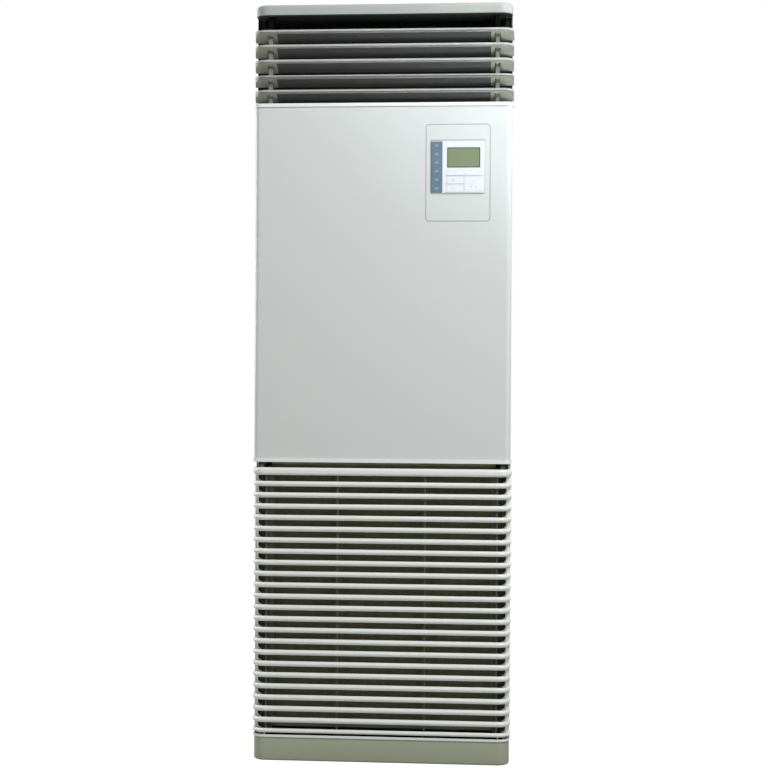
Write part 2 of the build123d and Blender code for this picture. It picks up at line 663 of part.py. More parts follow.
def guide_vane(index):
    """Upright vane with a pivot pin at each end and a crank pin on its upper edge."""
    x = guide_x(index)
    z0 = sill_top() + GUIDE_END_GAP
    z1 = CAP_Z0 - LINER_T - GUIDE_HEAD
    vane = block(x - GUIDE_T / 2, x + GUIDE_T / 2, GUIDE_Y - GUIDE_CHORD / 2, GUIDE_Y + GUIDE_CHORD / 2, z0, z1)
    vane += rod_z(x, GUIDE_Y, sill_top() - LINER_T, z1, GUIDE_PIN_R)
    vane += rod_z(x, GUIDE_Y, z1, CAP_Z0 - LINER_T / 2, GUIDE_PIN_R)
    vane += rod_z(x, GUIDE_Y + CRANK_R, z1 - 2 * LINK_T, link_z() + LINK_T + GUIDE_END_GAP, LINK_PIN_R)
    return vane


def guide_vane_link():
    """Flat bar that joins the crank pins of all guide vanes and of the motor crank."""
    y = GUIDE_Y + CRANK_R
    bar = block(guide_x(0) - LINK_END, CRANK_X + LINK_END, y - LINK_W / 2, y + LINK_W / 2, link_z(), link_z() + LINK_T)
    for x in [guide_x(i) for i in range(GUIDE_COUNT)] + [CRANK_X]:
        bar -= rod_z(x, y, link_z() - 1, link_z() + LINK_T + 1, LINK_PIN_R + RUN_GAP)
    return bar


def swing_crank():
    """Crank on the motor shaft, with a pin that drives the link."""
    z0 = CAP_Z0 - LINER_T - GUIDE_HEAD - CRANK_T
    crank = rod_z(CRANK_X, GUIDE_Y, z0, z0 + CRANK_T, CRANK_HUB_R)
    crank += block(CRANK_X - LINK_PIN_R - 1, CRANK_X + LINK_PIN_R + 1, GUIDE_Y, GUIDE_Y + CRANK_R, z0, z0 + CRANK_T)
    crank += rod_z(CRANK_X, GUIDE_Y + CRANK_R, z0, z0 + CRANK_T, LINK_PIN_R + 1)
    crank += rod_z(CRANK_X, GUIDE_Y + CRANK_R, z0, link_z() + LINK_T + GUIDE_END_GAP, LINK_PIN_R)
    crank += rod_z(CRANK_X, GUIDE_Y, z0, CAP_Z0 + SWING_MOTOR_H / 2, SHAFT_R)
    return crank


def swing_motor():
    """Small stepping motor that stands on the soffit, with two fixing ears."""
    motor = rod_z(CRANK_X, GUIDE_Y, CAP_Z0, CAP_Z0 + SWING_MOTOR_H, SWING_MOTOR_R)
    motor += block(CRANK_X - 2 * SWING_MOTOR_R, CRANK_X + 2 * SWING_MOTOR_R, GUIDE_Y - CRANK_HUB_R,
                   GUIDE_Y + CRANK_HUB_R, CAP_Z0, CAP_Z0 + SHEET)
    motor -= rod_z(CRANK_X, GUIDE_Y, CAP_Z0 - 1, CAP_Z0 + SWING_MOTOR_H / 2 + 1, SHAFT_R + RUN_GAP)
    for side in (-1, 1):
        motor -= rod_z(CRANK_X + side * 1.6 * SWING_MOTOR_R, GUIDE_Y, CAP_Z0 - 1, CAP_Z0 + 2, SCREW_R)
    return motor


# ---- Fan ----

def bell_mouth():
    """Partition across the unit with a flared inlet ring that reaches into the wheel."""
    plate = block(-INNER_X, INNER_X, BELL_Y, BELL_Y + SHEET, PAN_WALL_H, SHELF_Z)
    plate -= rod_y(0, BELL_Y - 1, BELL_Y + SHEET + 1, FAN_Z, BELL_HOLE_R)
    bend = BELL_HOLE_R - BELL_THROAT_R
    half_turn = 1 - cos(radians(45))
    lip = bend - BELL_T
    outer = ThreePointArc((BELL_HOLE_R, 0), (BELL_THROAT_R + half_turn * bend, half_turn * bend), (BELL_THROAT_R, bend))
    inner = ThreePointArc((BELL_THROAT_R + BELL_T, bend),
                          (BELL_THROAT_R + BELL_T + half_turn * lip, BELL_T + half_turn * lip), (BELL_HOLE_R, BELL_T))
    profile = make_face([outer, Line((BELL_THROAT_R, bend), (BELL_THROAT_R + BELL_T, bend)), inner,
                         Line((BELL_HOLE_R, BELL_T), (BELL_HOLE_R, 0))])
    ring = revolve(profile, Axis.Y)
    return plate + Pos(0, BELL_Y, FAN_Z) * ring


def scroll_tongue():
    """Where the scroll starts, next to the wheel: x and height."""
    angle = radians(SCROLL_TONGUE)
    return SCROLL_R0 * cos(angle), FAN_Z + SCROLL_R0 * sin(angle)


def scroll_end_x():
    return SCROLL_R0 + SCROLL_GROWTH


def scroll_face(offset):
    """Outline of the scroll: a growing spiral from the tongue down and round to the outlet."""
    sweep = 180 + SCROLL_TONGUE
    steps = 12
    points = []
    for i in range(steps + 1):
        angle = radians(SCROLL_TONGUE - sweep * i / steps)
        r = SCROLL_R0 + SCROLL_GROWTH * i / steps + offset
        points.append((r * cos(angle), FAN_Z + r * sin(angle)))
    spiral = Spline(*points)
    rest = Polyline(points[-1], (points[-1][0], SHELF_Z), (points[0][0], SHELF_Z), points[0])
    return make_face(spiral + rest)


def fan_scroll():
    """Sheet scroll round the wheel, with a back plate and an open top."""
    y0 = BELL_Y + SHEET
    housing = across_y(scroll_face(SCROLL_T), y0, SCROLL_Y1)
    housing -= across_y(scroll_face(0), y0 - 1, SCROLL_Y1 - SCROLL_T)
    housing -= block(-WIDTH, WIDTH, y0 - 1, SCROLL_Y1 + 1, SHELF_Z, HEIGHT)
    housing -= rod_y(0, SCROLL_Y1 - 2 * SCROLL_T, SCROLL_Y1 + 1, FAN_Z, 2 * FAN_SHAFT_R)
    return housing


def fan_wheel():
    """Forward curved wheel: back disc, hub, blades and front ring."""
    wheel = rod_y(0, WHEEL_Y1 - DISC_T, WHEEL_Y1, FAN_Z, WHEEL_R)
    wheel += rod_y(0, WHEEL_Y1 - HUB_L, WHEEL_Y1, FAN_Z, HUB_R)
    ring = rod_y(0, WHEEL_Y0, WHEEL_Y0 + DISC_T, FAN_Z, WHEEL_R) - rod_y(0, WHEEL_Y0 - 1, WHEEL_Y0 + 3, FAN_Z, BLADE_R0)
    chord = WHEEL_R - BLADE_R0 - 1
    curve = 0.3 * chord
    outer = ThreePointArc((BLADE_R0 + 0.5, 0), (BLADE_R0 + chord / 2, curve), (BLADE_R0 + chord, curve / 2))
    inner = ThreePointArc((BLADE_R0 + chord, curve / 2 - BLADE_T), (BLADE_R0 + chord / 2, curve - BLADE_T),
                          (BLADE_R0 + 0.5, -BLADE_T))
    face = make_face(outer + Line((BLADE_R0 + chord, curve / 2), (BLADE_R0 + chord, curve / 2 - BLADE_T)) + inner
                     + Line((BLADE_R0 + 0.5, -BLADE_T), (BLADE_R0 + 0.5, 0)))
    blade = across_y(face, WHEEL_Y0 + DISC_T / 2, WHEEL_Y1 - DISC_T / 2)
    blades = [Pos(0, 0, FAN_Z) * Rot(0, 360 * i / BLADE_COUNT, 0) * blade for i in range(BLADE_COUNT)]
    wheel = wheel + ring
    wheel = wheel + blades
    return wheel - rod_y(0, WHEEL_Y0, WHEEL_Y1 + 1, FAN_Z, FAN_SHAFT_R)


def fan_shaft():
    return rod_y(0, WHEEL_Y1 - HUB_L - 4, motor_y0() + MOTOR_BOSS_L / 2, FAN_Z, FAN_SHAFT_R)


def motor_y0():
    """Front of the motor, against the scroll's back plate."""
    return SCROLL_Y1


def fan_motor():
    """Flat motor behind the scroll on three arms."""
    motor = rod_y(0, motor_y0() + SHEET, motor_y0() + MOTOR_L, FAN_Z, MOTOR_R)
    for i in range(3):
        arm = block(0, MOTOR_ARM_R, motor_y0(), motor_y0() + 3 * SHEET, -MOTOR_ARM_W / 2, MOTOR_ARM_W / 2)
        arm -= rod_y(MOTOR_ARM_R - MOTOR_ARM_W / 2, motor_y0() - 1, motor_y0() + 5, 0, SCREW_R)
        motor += Pos(0, 0, FAN_Z) * Rot(0, 90 + 120 * i, 0) * arm
    return motor - rod_y(0, motor_y0() - 1, motor_y0() + MOTOR_BOSS_L / 2 + 1, FAN_Z, FAN_SHAFT_R + RUN_GAP)


# ---- Heat exchanger, drain and pipes ----

def coil_place():
    """Frame of the tilted coil: its foot in the drain pan, leaning back."""
    return Pos(0, COIL_Y0, COIL_Z0) * Rot(-COIL_TILT, 0, 0)


def tube_places():
    """Tube centres in the coil's own depth and height."""
    step = COIL_L / TUBE_ROWS
    return [((lane - 0.5) * TUBE_LANE_GAP, step * (row + 0.5)) for lane in range(TUBE_LANES) for row in range(TUBE_ROWS)]


def coil_sheet(thickness, edge):
    """One fin or end plate with its tube holes, standing on its foot at x = 0."""
    sheet = block(-thickness / 2, thickness / 2, -COIL_T / 2 - edge, COIL_T / 2 + edge, 0, COIL_L)
    for y, z in tube_places():
        sheet -= rod_x(-thickness, thickness, y, z, TUBE_R)
    return sheet


def evaporator_fins():
    fin = coil_sheet(FIN_T, 0)
    count = int(2 * (COIL_X - END_PLATE_T) / FIN_PITCH)
    start = -(count - 1) * FIN_PITCH / 2
    return [coil_place() * Pos(start + i * FIN_PITCH, 0, 0) * fin for i in range(count)]


def evaporator_end_plates():
    plate = coil_sheet(END_PLATE_T, END_PLATE_EDGE)
    return [coil_place() * Pos(side * COIL_X, 0, 0) * plate for side in (-1, 1)]


def evaporator_tubes():
    """Straight tubes with a return bend joining each pair of rows at both ends."""
    step = COIL_L / TUBE_ROWS
    reach = COIL_X + END_PLATE_T / 2 + TUBE_STUB
    half_ring = Torus(step / 2, TUBE_R) - Pos(-step, 0, 0) * Box(2 * step, 4 * step, 4 * TUBE_R)
    parts = []
    for lane in range(TUBE_LANES):
        y = (lane - 0.5) * TUBE_LANE_GAP
        tubes = None
        for row in range(TUBE_ROWS):
            tube = rod_x(-reach, reach, y, step * (row + 0.5), TUBE_R)
            tubes = tube if tubes is None else tubes + tube
        for row in range(TUBE_ROWS - 1):
            side = 1 if row % 2 else -1
            bend = half_ring if side > 0 else mirror(half_ring, Plane.YZ)
            tubes += Pos(side * reach, y, step * (row + 1)) * Rot(90, 0, 0) * bend
        parts.append(coil_place() * tubes)
    return parts


def drain_pan():
    """Tray under the coil with an outlet spigot hole."""
    outer = block(-INNER_X, INNER_X, PAN_Y0, PAN_Y1, PAN_Z0, PAN_Z0 + PAN_H)
    pan = outer - block(-INNER_X + PAN_T, INNER_X - PAN_T, PAN_Y0 + PAN_T, PAN_Y1 - PAN_T, PAN_Z0 + PAN_T, PAN_Z0 + PAN_H)
    rail_y = COIL_T / 2 * cos(radians(COIL_TILT))
    top = COIL_Z0 + COIL_T / 2 * sin(radians(COIL_TILT))
    for side in (-1, 1):
        x = side * COIL_X
        rest = block(x - 4, x + 4, COIL_Y0 - rail_y, COIL_Y0 + rail_y, PAN_Z0 + PAN_T, top + PAN_T)
        foot = coil_place() * block(x - 5, x + 5, -COIL_T, COIL_T, 0, COIL_T)
        pan += rest - foot
    return pan - rod_y(DRAIN_X, PAN_Y1 - 2 * PAN_T, PAN_Y1 + 1, PAN_Z0 + PAN_T + DRAIN_R, DRAIN_R)


def elbow_pipe(x, exit_z, r, start_y, start_z):
    """Pipe from a start point level to the rear, down the back and out through the back panel."""
    end_y = DEPTH / 2 - PIPE_END_GAP
    route = FilletPolyline((x, start_y, start_z), (x, PIPE_Y, start_z), (x, PIPE_Y, exit_z), (x, end_y, exit_z),
                           radius=PIPE_BEND_R)
    section = Plane(origin=(x, start_y, start_z), z_dir=route % 0) * Circle(r)
    return sweep(section, path=route)


def drain_pipe():
    z = PAN_Z0 + PAN_T + DRAIN_R
    return elbow_pipe(DRAIN_X, PIPE_EXIT_Z, DRAIN_R, PAN_Y1 - PAN_T, z)


def refrigerant_pipes():
    """Gas and liquid pipe, from the coil's headers down to the rear openings."""
    step = COIL_L / TUBE_ROWS
    lean = radians(COIL_TILT)
    pipes = []
    gas, liquid, _ = pipe_exits()
    for (x, exit_z, r), row in ((gas, TUBE_ROWS - 1), (liquid, 0)):
        y_in = -TUBE_LANE_GAP / 2
        z_in = step * (row + 0.5)
        y = COIL_Y0 + y_in * cos(lean) + z_in * sin(lean)
        z = COIL_Z0 + z_in * cos(lean) - y_in * sin(lean)
        reach = COIL_X + END_PLATE_T / 2 + TUBE_STUB
        pipe = elbow_pipe(x, exit_z, r, y, z)
        pipe += rod_x(reach, x, y, z, TUBE_R) + Pos(x, y, z) * Sphere(r)
        pipes.append(pipe)
    return pipes


# ---- Electrics ----

def control_box():
    box = block(BOX_X0, INNER_X, BOX_Y0, BOX_Y1, BOX_Z0, BOX_Z1)
    return box - block(BOX_X0 + BOX_T, INNER_X - BOX_T, BOX_Y0 - 1, BOX_Y1 - BOX_T, BOX_Z0 + BOX_T, BOX_Z1 - BOX_T)


def control_box_lid():
    """Lid in front of the box, clear of the side panel's fold."""
    return block(BOX_X0, CASE_X - FLANGE - 2 * SHEET, BOX_Y0 - BOX_T, BOX_Y0, BOX_Z0, BOX_Z1)


def control_board():
    """Circuit board on four stands, with its larger parts."""
    x0 = BOX_X0 + BOARD_EDGE
    x1 = INNER_X - BOARD_EDGE
    z0 = BOX_Z0 + BOARD_EDGE + TERMINAL_H + BOARD_EDGE
    z1 = BOX_Z1 - BOARD_EDGE
    back = BOX_Y1 - BOX_T
    front = back - BOARD_STAND - BOARD_T
    board = block(x0, x1, front, front + BOARD_T, z0, z1)
    for x in (x0 + BOARD_STAND, x1 - BOARD_STAND):
        for z in (z0 + BOARD_STAND, z1 - BOARD_STAND):
            board += rod_y(x, front + BOARD_T, back, z, BOARD_STAND / 2)
    third = (x1 - x0) / 3
    board += block(x0 + third, x0 + 2 * third, front - 2 * BOARD_EDGE, front, z0 + BOARD_EDGE, z0 + 3 * BOARD_EDGE)
    for i in range(3):
        board += rod_y(x0 + (i + 1) * BOARD_EDGE * 1.2, front - 1.5 * BOARD_EDGE, front, z1 - 2 * BOARD_EDGE, BOARD_STAND)
    return board


def terminal_block():
    x = (BOX_X0 + INNER_X) / 2
    z0 = BOX_Z0 + BOARD_EDGE
    back = BOX_Y1 - BOX_T
    strip = block(x - TERMINAL_W / 2, x + TERMINAL_W / 2, back - TERMINAL_D, back, z0, z0 + TERMINAL_H)
    ways = 5
    for i in range(ways):
        way_x = x + (i - (ways - 1) / 2) * TERMINAL_W / ways
        strip -= rod_y(way_x, back - TERMINAL_D - 1, back - TERMINAL_D / 2, z0 + TERMINAL_H / 2, 2 * SCREW_R)
    return strip


def cable_gland():
    """Ring in the back panel where the supply lead enters."""
    ring = rod_y(GLAND_X, BACK_Y - GLAND_L, BACK_Y, GLAND_Z, GLAND_OUT_R)
    ring += rod_y(GLAND_X, CASE_Y1 - SHEET, CASE_Y1, GLAND_Z, GLAND_OUT_R + 2)
    return ring - rod_y(GLAND_X, BACK_Y - GLAND_L - 1, BACK_Y + 1, GLAND_Z, GLAND_R)


# ---- Wired controller ----

def rounded_block(x0, x1, y0, y1, z0, z1, r):
    """A plate that faces the front, with rounded corners."""
    face = Pos((x0 + x1) / 2, (z0 + z1) / 2) * RectangleRounded(x1 - x0, z1 - z0, r)
    return across_y(face, y0, y1)


def cover_plate_block(grow, y0, y1):
    """The cover's outline, grown all round."""
    return rounded_block(COVER_X0 - grow, COVER_X1 + grow, y0, y1, COVER_Z0 - grow, COVER_Z1 + grow, COVER_R + grow)


def controller_body_block(grow, y0, y1):
    """Part of the controller that goes through the cover."""
    inset = CTRL_BODY_IN - grow
    return rounded_block(CTRL_X0 + inset, CTRL_X1 - inset, y0, y1, CTRL_Z0 + inset, CTRL_Z1 - inset, CTRL_R)


def controller_cover():
    """Cover flush in the front panel, held by a lip behind the sheet."""
    plate = cover_plate_block(0, PANEL_Y, PANEL_Y + SHEET)
    plate += cover_plate_block(COVER_LIP, PANEL_Y + SHEET, PANEL_Y + 2 * SHEET)
    return plate - controller_body_block(FIT_GAP, PANEL_Y - 1, PANEL_Y + 3 * SHEET)


def key_areas():
    """Name and outline of every key opening: x0, x1, z0, z1."""
    half = KEY_WEB / 2
    left, split, right = KEY_PAD_X0, KEY_SPLIT_X, KEY_PAD_X1
    return {
        "key_power": (split + half, right, KEY_ROW_0, KEY_ROW_2 - half),
        "key_up": (left, split - half, KEY_ROW_1 + half, KEY_ROW_2 - half),
        "key_down": (left, split - half, KEY_ROW_0, KEY_ROW_1 - half),
        "key_small_left": (left, split - half, KEY_ROW_2 + half, KEY_ROW_3),
        "key_small_right": (split + half, right, KEY_ROW_2 + half, KEY_ROW_3),
    }


def controller_case():
    """Face plate and hollow body, with openings for strip, screen and keys."""
    face = rounded_block(CTRL_X0, CTRL_X1, CASE_FACE_Y, PANEL_Y, CTRL_Z0, CTRL_Z1, CTRL_R)
    face = fillet(face.edges().group_by(Axis.Y)[0], 2 * KEY_EDGE_R)
    back = CASE_FACE_Y + CTRL_DEPTH
    case = face + controller_body_block(0, PANEL_Y, back)
    case -= controller_body_block(-CTRL_WALL, CASE_FACE_Y + CTRL_WALL, back - CTRL_WALL)
    case -= block(CTRL_X0 - 1, STRIP_X1, CASE_FACE_Y - 1, CASE_FACE_Y + STRIP_T, CTRL_Z0 - 1, CTRL_Z1 + 1)
    case -= screen_block()
    for x0, x1, z0, z1 in key_areas().values():
        case -= block(x0, x1, CASE_FACE_Y - 1, CASE_FACE_Y + 2 * CTRL_WALL, z0, z1)
    return case


def screen_block():
    return block(SCREEN_X0, SCREEN_X1, CASE_FACE_Y - 1, CASE_FACE_Y + 2 * CTRL_WALL, SCREEN_Z0, SCREEN_Z1)


def controller_strip():
    """Left overlay, flush with the face."""
    return block(CTRL_X0, STRIP_X1, CASE_FACE_Y, CASE_FACE_Y + STRIP_T, CTRL_Z0 + CTRL_R, CTRL_Z1 - CTRL_R)


def controller_screen():
    """Display window, set a little back in its opening, on the board's display frame."""
    back = CASE_FACE_Y + CTRL_DEPTH - CTRL_WALL
    return block(SCREEN_X0, SCREEN_X1, CASE_FACE_Y + KEY_EDGE_R, board_front(back), SCREEN_Z0, SCREEN_Z1)


def board_front(back):
    return back - CTRL_BOARD_T


def key(area):
    """Key cap with a lip behind the face that keeps it in."""
    x0, x1, z0, z1 = area
    cap = block(x0 + KEY_GAP, x1 - KEY_GAP, CASE_FACE_Y - KEY_RISE, CASE_FACE_Y + CTRL_WALL + KEY_GAP,
                z0 + KEY_GAP, z1 - KEY_GAP)
    cap = fillet(cap.edges().group_by(Axis.Y)[0], KEY_EDGE_R)
    lip_y = CASE_FACE_Y + CTRL_WALL + FIT_GAP
    grow = KEY_WEB / 2 - KEY_GAP / 2
    return cap + block(x0 - grow + KEY_GAP, x1 + grow - KEY_GAP, lip_y, lip_y + KEY_LIP_T,
                       z0 - grow + KEY_GAP, z1 + grow - KEY_GAP)


def controller_board():
    """Board behind the keys with one small switch under each."""
    back = CASE_FACE_Y + CTRL_DEPTH - CTRL_WALL
    board = controller_body_block(-CTRL_WALL, board_front(back), back)
    key_back = CASE_FACE_Y + CTRL_WALL + FIT_GAP + KEY_LIP_T
    for x0, x1, z0, z1 in key_areas().values():
        x = (x0 + x1) / 2
        z = (z0 + z1) / 2
        board += block(x - SWITCH_W / 2, x + SWITCH_W / 2, key_back + KEY_TRAVEL + FIT_GAP / 3, board_front(back),
                       z - SWITCH_W / 2, z + SWITCH_W / 2)
    return board


# ---- Write every piece ----

os.makedirs("parts", exist_ok=True)

save("base_pan", base_pan())
save("kick_plate", kick_plate())
save("side_panel_left", side_panel(-1))
save("side_panel_right", side_panel(1))
save("back_panel", back_panel())
save("casing_screws", casing_screws())
save("wall_plate", wall_plate())
save("top_cap", top_cap())
save("front_panel", front_panel())
save("casing_trims", casing_trims())
save("cross_rail", cross_rail())
save("inlet_grille", inlet_grille())
save("grille_hinges", grille_hinges())
save("grille_catches", grille_catches())
save("air_filter_frame", air_filter_frame())
save("air_filter_mesh", air_filter_mesh())
save("outlet_liner", outlet_liner())
save("outlet_posts", outlet_posts())
save("outlet_cheeks", outlet_cheeks())
for number in range(VANE_COUNT):
    save(f"air_vane_{number + 1}", air_vane(number))
for number in range(GUIDE_COUNT):
    save(f"guide_vane_{number + 1}", guide_vane(number))
save("guide_vane_link", guide_vane_link())
save("swing_crank", swing_crank())
save("swing_motor", swing_motor())
save("bell_mouth", bell_mouth())
save("fan_scroll", fan_scroll())
save("fan_wheel", fan_wheel())
save("fan_shaft", fan_shaft())
save("fan_motor", fan_motor())
save("evaporator_fins", evaporator_fins())
save("evaporator_end_plates", evaporator_end_plates())
save("evaporator_tubes", evaporator_tubes())
save("drain_pan", drain_pan())
save("drain_pipe", drain_pipe())
save("refrigerant_pipes", refrigerant_pipes())
save("control_box", control_box())
save("control_box_lid", control_box_lid())
save("control_board", control_board())
save("terminal_block", terminal_block())
save("cable_gland", cable_gland())
save("controller_cover", controller_cover())
save("controller_case", controller_case())
save("controller_strip", controller_strip())
save("controller_screen", controller_screen())
save("controller_board", controller_board())
for name, area in key_areas().items():
    save(name, key(area))
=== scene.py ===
import math

import bmesh
import bpy
from mathutils import Matrix, Vector


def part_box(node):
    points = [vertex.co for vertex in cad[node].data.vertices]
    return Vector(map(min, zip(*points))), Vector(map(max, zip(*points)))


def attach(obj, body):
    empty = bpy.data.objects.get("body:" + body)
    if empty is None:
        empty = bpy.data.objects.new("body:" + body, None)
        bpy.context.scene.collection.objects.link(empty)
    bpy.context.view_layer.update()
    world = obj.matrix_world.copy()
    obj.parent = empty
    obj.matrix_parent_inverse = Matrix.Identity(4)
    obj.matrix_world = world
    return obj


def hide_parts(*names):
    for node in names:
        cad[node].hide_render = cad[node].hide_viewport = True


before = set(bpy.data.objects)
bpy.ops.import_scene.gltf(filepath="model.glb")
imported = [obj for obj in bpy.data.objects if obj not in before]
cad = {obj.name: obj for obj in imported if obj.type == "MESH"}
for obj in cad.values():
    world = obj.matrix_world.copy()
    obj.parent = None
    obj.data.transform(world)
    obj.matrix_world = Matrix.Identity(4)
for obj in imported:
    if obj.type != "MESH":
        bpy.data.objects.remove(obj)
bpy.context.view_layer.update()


# ---- Camera ----
# It stands a little right of the middle of the unit, just above half its height,
# and looks almost straight at the front.

PHOTO_PX = 768
FOCAL_PX = 1611.2
SENSOR_WIDTH = 36.0
CAMERA_PLACE = (0.2973, -3.8, 0.9104)
CAMERA_TURN = math.radians(4.512)
CAMERA_DIP = math.radians(0.546)
CAMERA_ROLL = math.radians(0.292)

camera_data = bpy.data.cameras.new("camera")
camera_data.sensor_width = SENSOR_WIDTH
camera_data.lens = FOCAL_PX / PHOTO_PX * SENSOR_WIDTH
camera = bpy.data.objects.new("camera", camera_data)
bpy.context.scene.collection.objects.link(camera)
camera.matrix_world = (
    Matrix.Translation(CAMERA_PLACE)
    @ Matrix.Rotation(CAMERA_TURN, 4, "Z")
    @ Matrix.Rotation(math.radians(90) - CAMERA_DIP, 4, "X")
    @ Matrix.Rotation(CAMERA_ROLL, 4, "Z")
)
bpy.context.scene.camera = camera
bpy.context.scene.view_settings.view_transform = "Standard"


# ---- Studio: floor, world and lamps ----
# A pale floor under a white surround. The main light is a soft lamp high on the right in
# front. Weaker lamps lift the right side, the foot, the left, the outlet and the back.

def feed(tree, node, inputs):
    """Feeds inputs of a node from sockets, or sets them to plain values."""
    for name, value in inputs.items():
        if isinstance(value, bpy.types.NodeSocket):
            tree.links.new(value, node.inputs[name])
        else:
            node.inputs[name].default_value = value


def node_of(tree, kind, inputs=None, **settings):
    """A new node with its settings and inputs."""
    made = tree.nodes.new(kind)
    for name, value in settings.items():
        setattr(made, name, value)
    feed(tree, made, inputs or {})
    return made


def math_node(tree, operation, first, second=0.0):
    """The result of one sum on sockets or plain numbers."""
    return node_of(tree, "ShaderNodeMath", {0: first, 1: second}, operation=operation).outputs[0]


def place_of(tree):
    """The place on the object, in its own coordinates."""
    return node_of(tree, "ShaderNodeTexCoord").outputs["Object"]


def ramp_of(tree, factor, tones):
    """A colour between two tones."""
    made = node_of(tree, "ShaderNodeValToRGB", {"Fac": factor})
    for stop, tone in zip(made.color_ramp.elements, tones):
        stop.color = tone
    return made.outputs["Color"]


def new_material(name):
    """A material with its tree and its shader."""
    made = bpy.data.materials.new(name)
    made.use_nodes = True
    return made, made.node_tree, made.node_tree.nodes["Principled BSDF"]


def white_to_camera(tree, shader_out):
    """Plain white for the camera, mirrors and glass, and the given shader for all else."""
    path = node_of(tree, "ShaderNodeLightPath").outputs
    seen = math_node(tree, "MAXIMUM", path["Is Camera Ray"], path["Is Glossy Ray"])
    seen = math_node(tree, "MAXIMUM", seen, path["Is Transmission Ray"])
    white = node_of(tree, "ShaderNodeBackground", {"Color": (1, 1, 1, 1)})
    return node_of(tree, "ShaderNodeMixShader", {0: seen, 1: shader_out, 2: white.outputs[0]}).outputs[0]


WORLD_LIGHT = 0.03
WORLD_TINT = (1.0, 1.0, 0.955, 1)
world = bpy.data.worlds.new("studio")
bpy.context.scene.world = world
world.use_nodes = True
sky = world.node_tree
sky.nodes.clear()
surround = node_of(sky, "ShaderNodeBackground", {"Color": WORLD_TINT, "Strength": WORLD_LIGHT})
node_of(sky, "ShaderNodeOutputWorld", {"Surface": white_to_camera(sky, surround.outputs[0])})

FLOOR_SIDE = 12.0
FLOOR_TONES = ((0.36, 0.365, 0.365, 1), (0.40, 0.405, 0.405, 1))
FLOOR_GRAIN = 3.0
FLOOR_ROUGH = 0.9
FLOOR_SHEEN = 0.1
FLOOR_LIFT = (0.86, 1.0)
FLOOR_LIFT_SPAN = (0.5, 1.3)
floor_mesh = bpy.data.meshes.new("floor")
half = FLOOR_SIDE / 2
floor_corners = [(-half, -half, 0), (half, -half, 0), (half, half, 0), (-half, half, 0)]
floor_mesh.from_pydata(floor_corners, [], [(0, 1, 2, 3)])
floor = bpy.data.objects.new("floor", floor_mesh)
bpy.context.scene.collection.objects.link(floor)
floor_paint, floor_tree, floor_shader = new_material("floor_paint")
floor_grain = node_of(floor_tree, "ShaderNodeTexNoise", {"Scale": FLOOR_GRAIN})
floor_reach = node_of(floor_tree, "ShaderNodeVectorMath", {0: place_of(floor_tree)}, operation="LENGTH")
floor_white = node_of(floor_tree, "ShaderNodeMapRange", {
    "Value": floor_reach.outputs["Value"],
    "From Min": FLOOR_LIFT_SPAN[0], "From Max": FLOOR_LIFT_SPAN[1],
    "To Min": FLOOR_LIFT[0], "To Max": FLOOR_LIFT[1],
})
floor_seen = node_of(floor_tree, "ShaderNodeLightPath").outputs["Is Camera Ray"]
feed(floor_tree, floor_shader, {
    "Base Color": ramp_of(floor_tree, floor_grain.outputs["Fac"], FLOOR_TONES),
    "Roughness": FLOOR_ROUGH,
    "Specular IOR Level": FLOOR_SHEEN,
    "Emission Color": (1, 1, 1, 1),
    "Emission Strength": math_node(floor_tree, "MULTIPLY", floor_seen, floor_white.outputs["Result"]),
})
floor_mesh.materials.append(floor_paint)


def soft_lamp(name, place, target, size, power, tint, spread=180.0):
    """A square lamp that faces a point of the unit."""
    data = bpy.data.lights.new(name, "AREA")
    data.size = size
    data.energy = power
    data.color = tint
    data.spread = math.radians(spread)
    lamp = bpy.data.objects.new(name, data)
    aim = Vector(target) - Vector(place)
    lamp.matrix_world = Matrix.Translation(place) @ aim.to_track_quat("-Z", "Y").to_matrix().to_4x4()
    bpy.context.scene.collection.objects.link(lamp)


soft_lamp("key_lamp", (1.5, -1.8, 3.4), (0.1, 0.0, 1.2), 0.8, 100.0, (0.985, 0.99, 1.0))
soft_lamp("side_lamp", (1.5, -1.0, 2.2), (0.1, 0.0, 1.4), 0.6, 5.0, (1.0, 1.0, 1.0))
soft_lamp("low_lamp", (1.6, -3.0, 0.5), (0.1, 0.0, 1.3), 0.5, 11.0, (1.0, 0.985, 0.92))
soft_lamp("fill_lamp", (-2.4, -2.8, 0.5), (0.0, 0.0, 1.2), 0.8, 13.0, (1.0, 0.985, 0.90))
soft_lamp("outlet_lamp", (1.5, -1.4, 0.6), (0.24, 0.0, 1.69), 0.2, 0.42, (0.88, 0.95, 1.0), 24.0)
soft_lamp("rear_lamp", (0.0, 2.8, 2.0), (0.0, 0.0, 0.9), 0.6, 48.0, (1.0, 1.0, 1.0))
soft_lamp("left_lamp", (-2.6, 0.7, 1.5), (-0.3, 0.05, 0.9), 1.2, 42.0, (1.0, 1.0, 1.0))


# ---- Casing sides ----
# Two steel sheets, folded along their front and rear edges and sprayed pale grey. The rear
# sheet is screwed to their rear folds.

def new_group(name, inputs, outputs):
    """An empty shader group with its sockets, and its two end nodes."""
    group = bpy.data.node_groups.new(name, "ShaderNodeTree")
    for label, kind, default in inputs:
        socket = group.interface.new_socket(label, in_out="INPUT", socket_type=kind)
        socket.default_value = default
    for label, kind in outputs:
        group.interface.new_socket(label, in_out="OUTPUT", socket_type=kind)
    return group, node_of(group, "NodeGroupInput"), node_of(group, "NodeGroupOutput")


def split_of(tree, vector):
    """The parts of a vector."""
    return node_of(tree, "ShaderNodeSeparateXYZ", {0: vector}).outputs


def blend(tree, factor, first, second):
    """A colour between two colours."""
    mix = node_of(tree, "ShaderNodeMix", {"Factor": factor, 6: first, 7: second}, data_type="RGBA")
    return mix.outputs[2]


FLOAT = "NodeSocketFloat"
COLOUR = "NodeSocketColor"

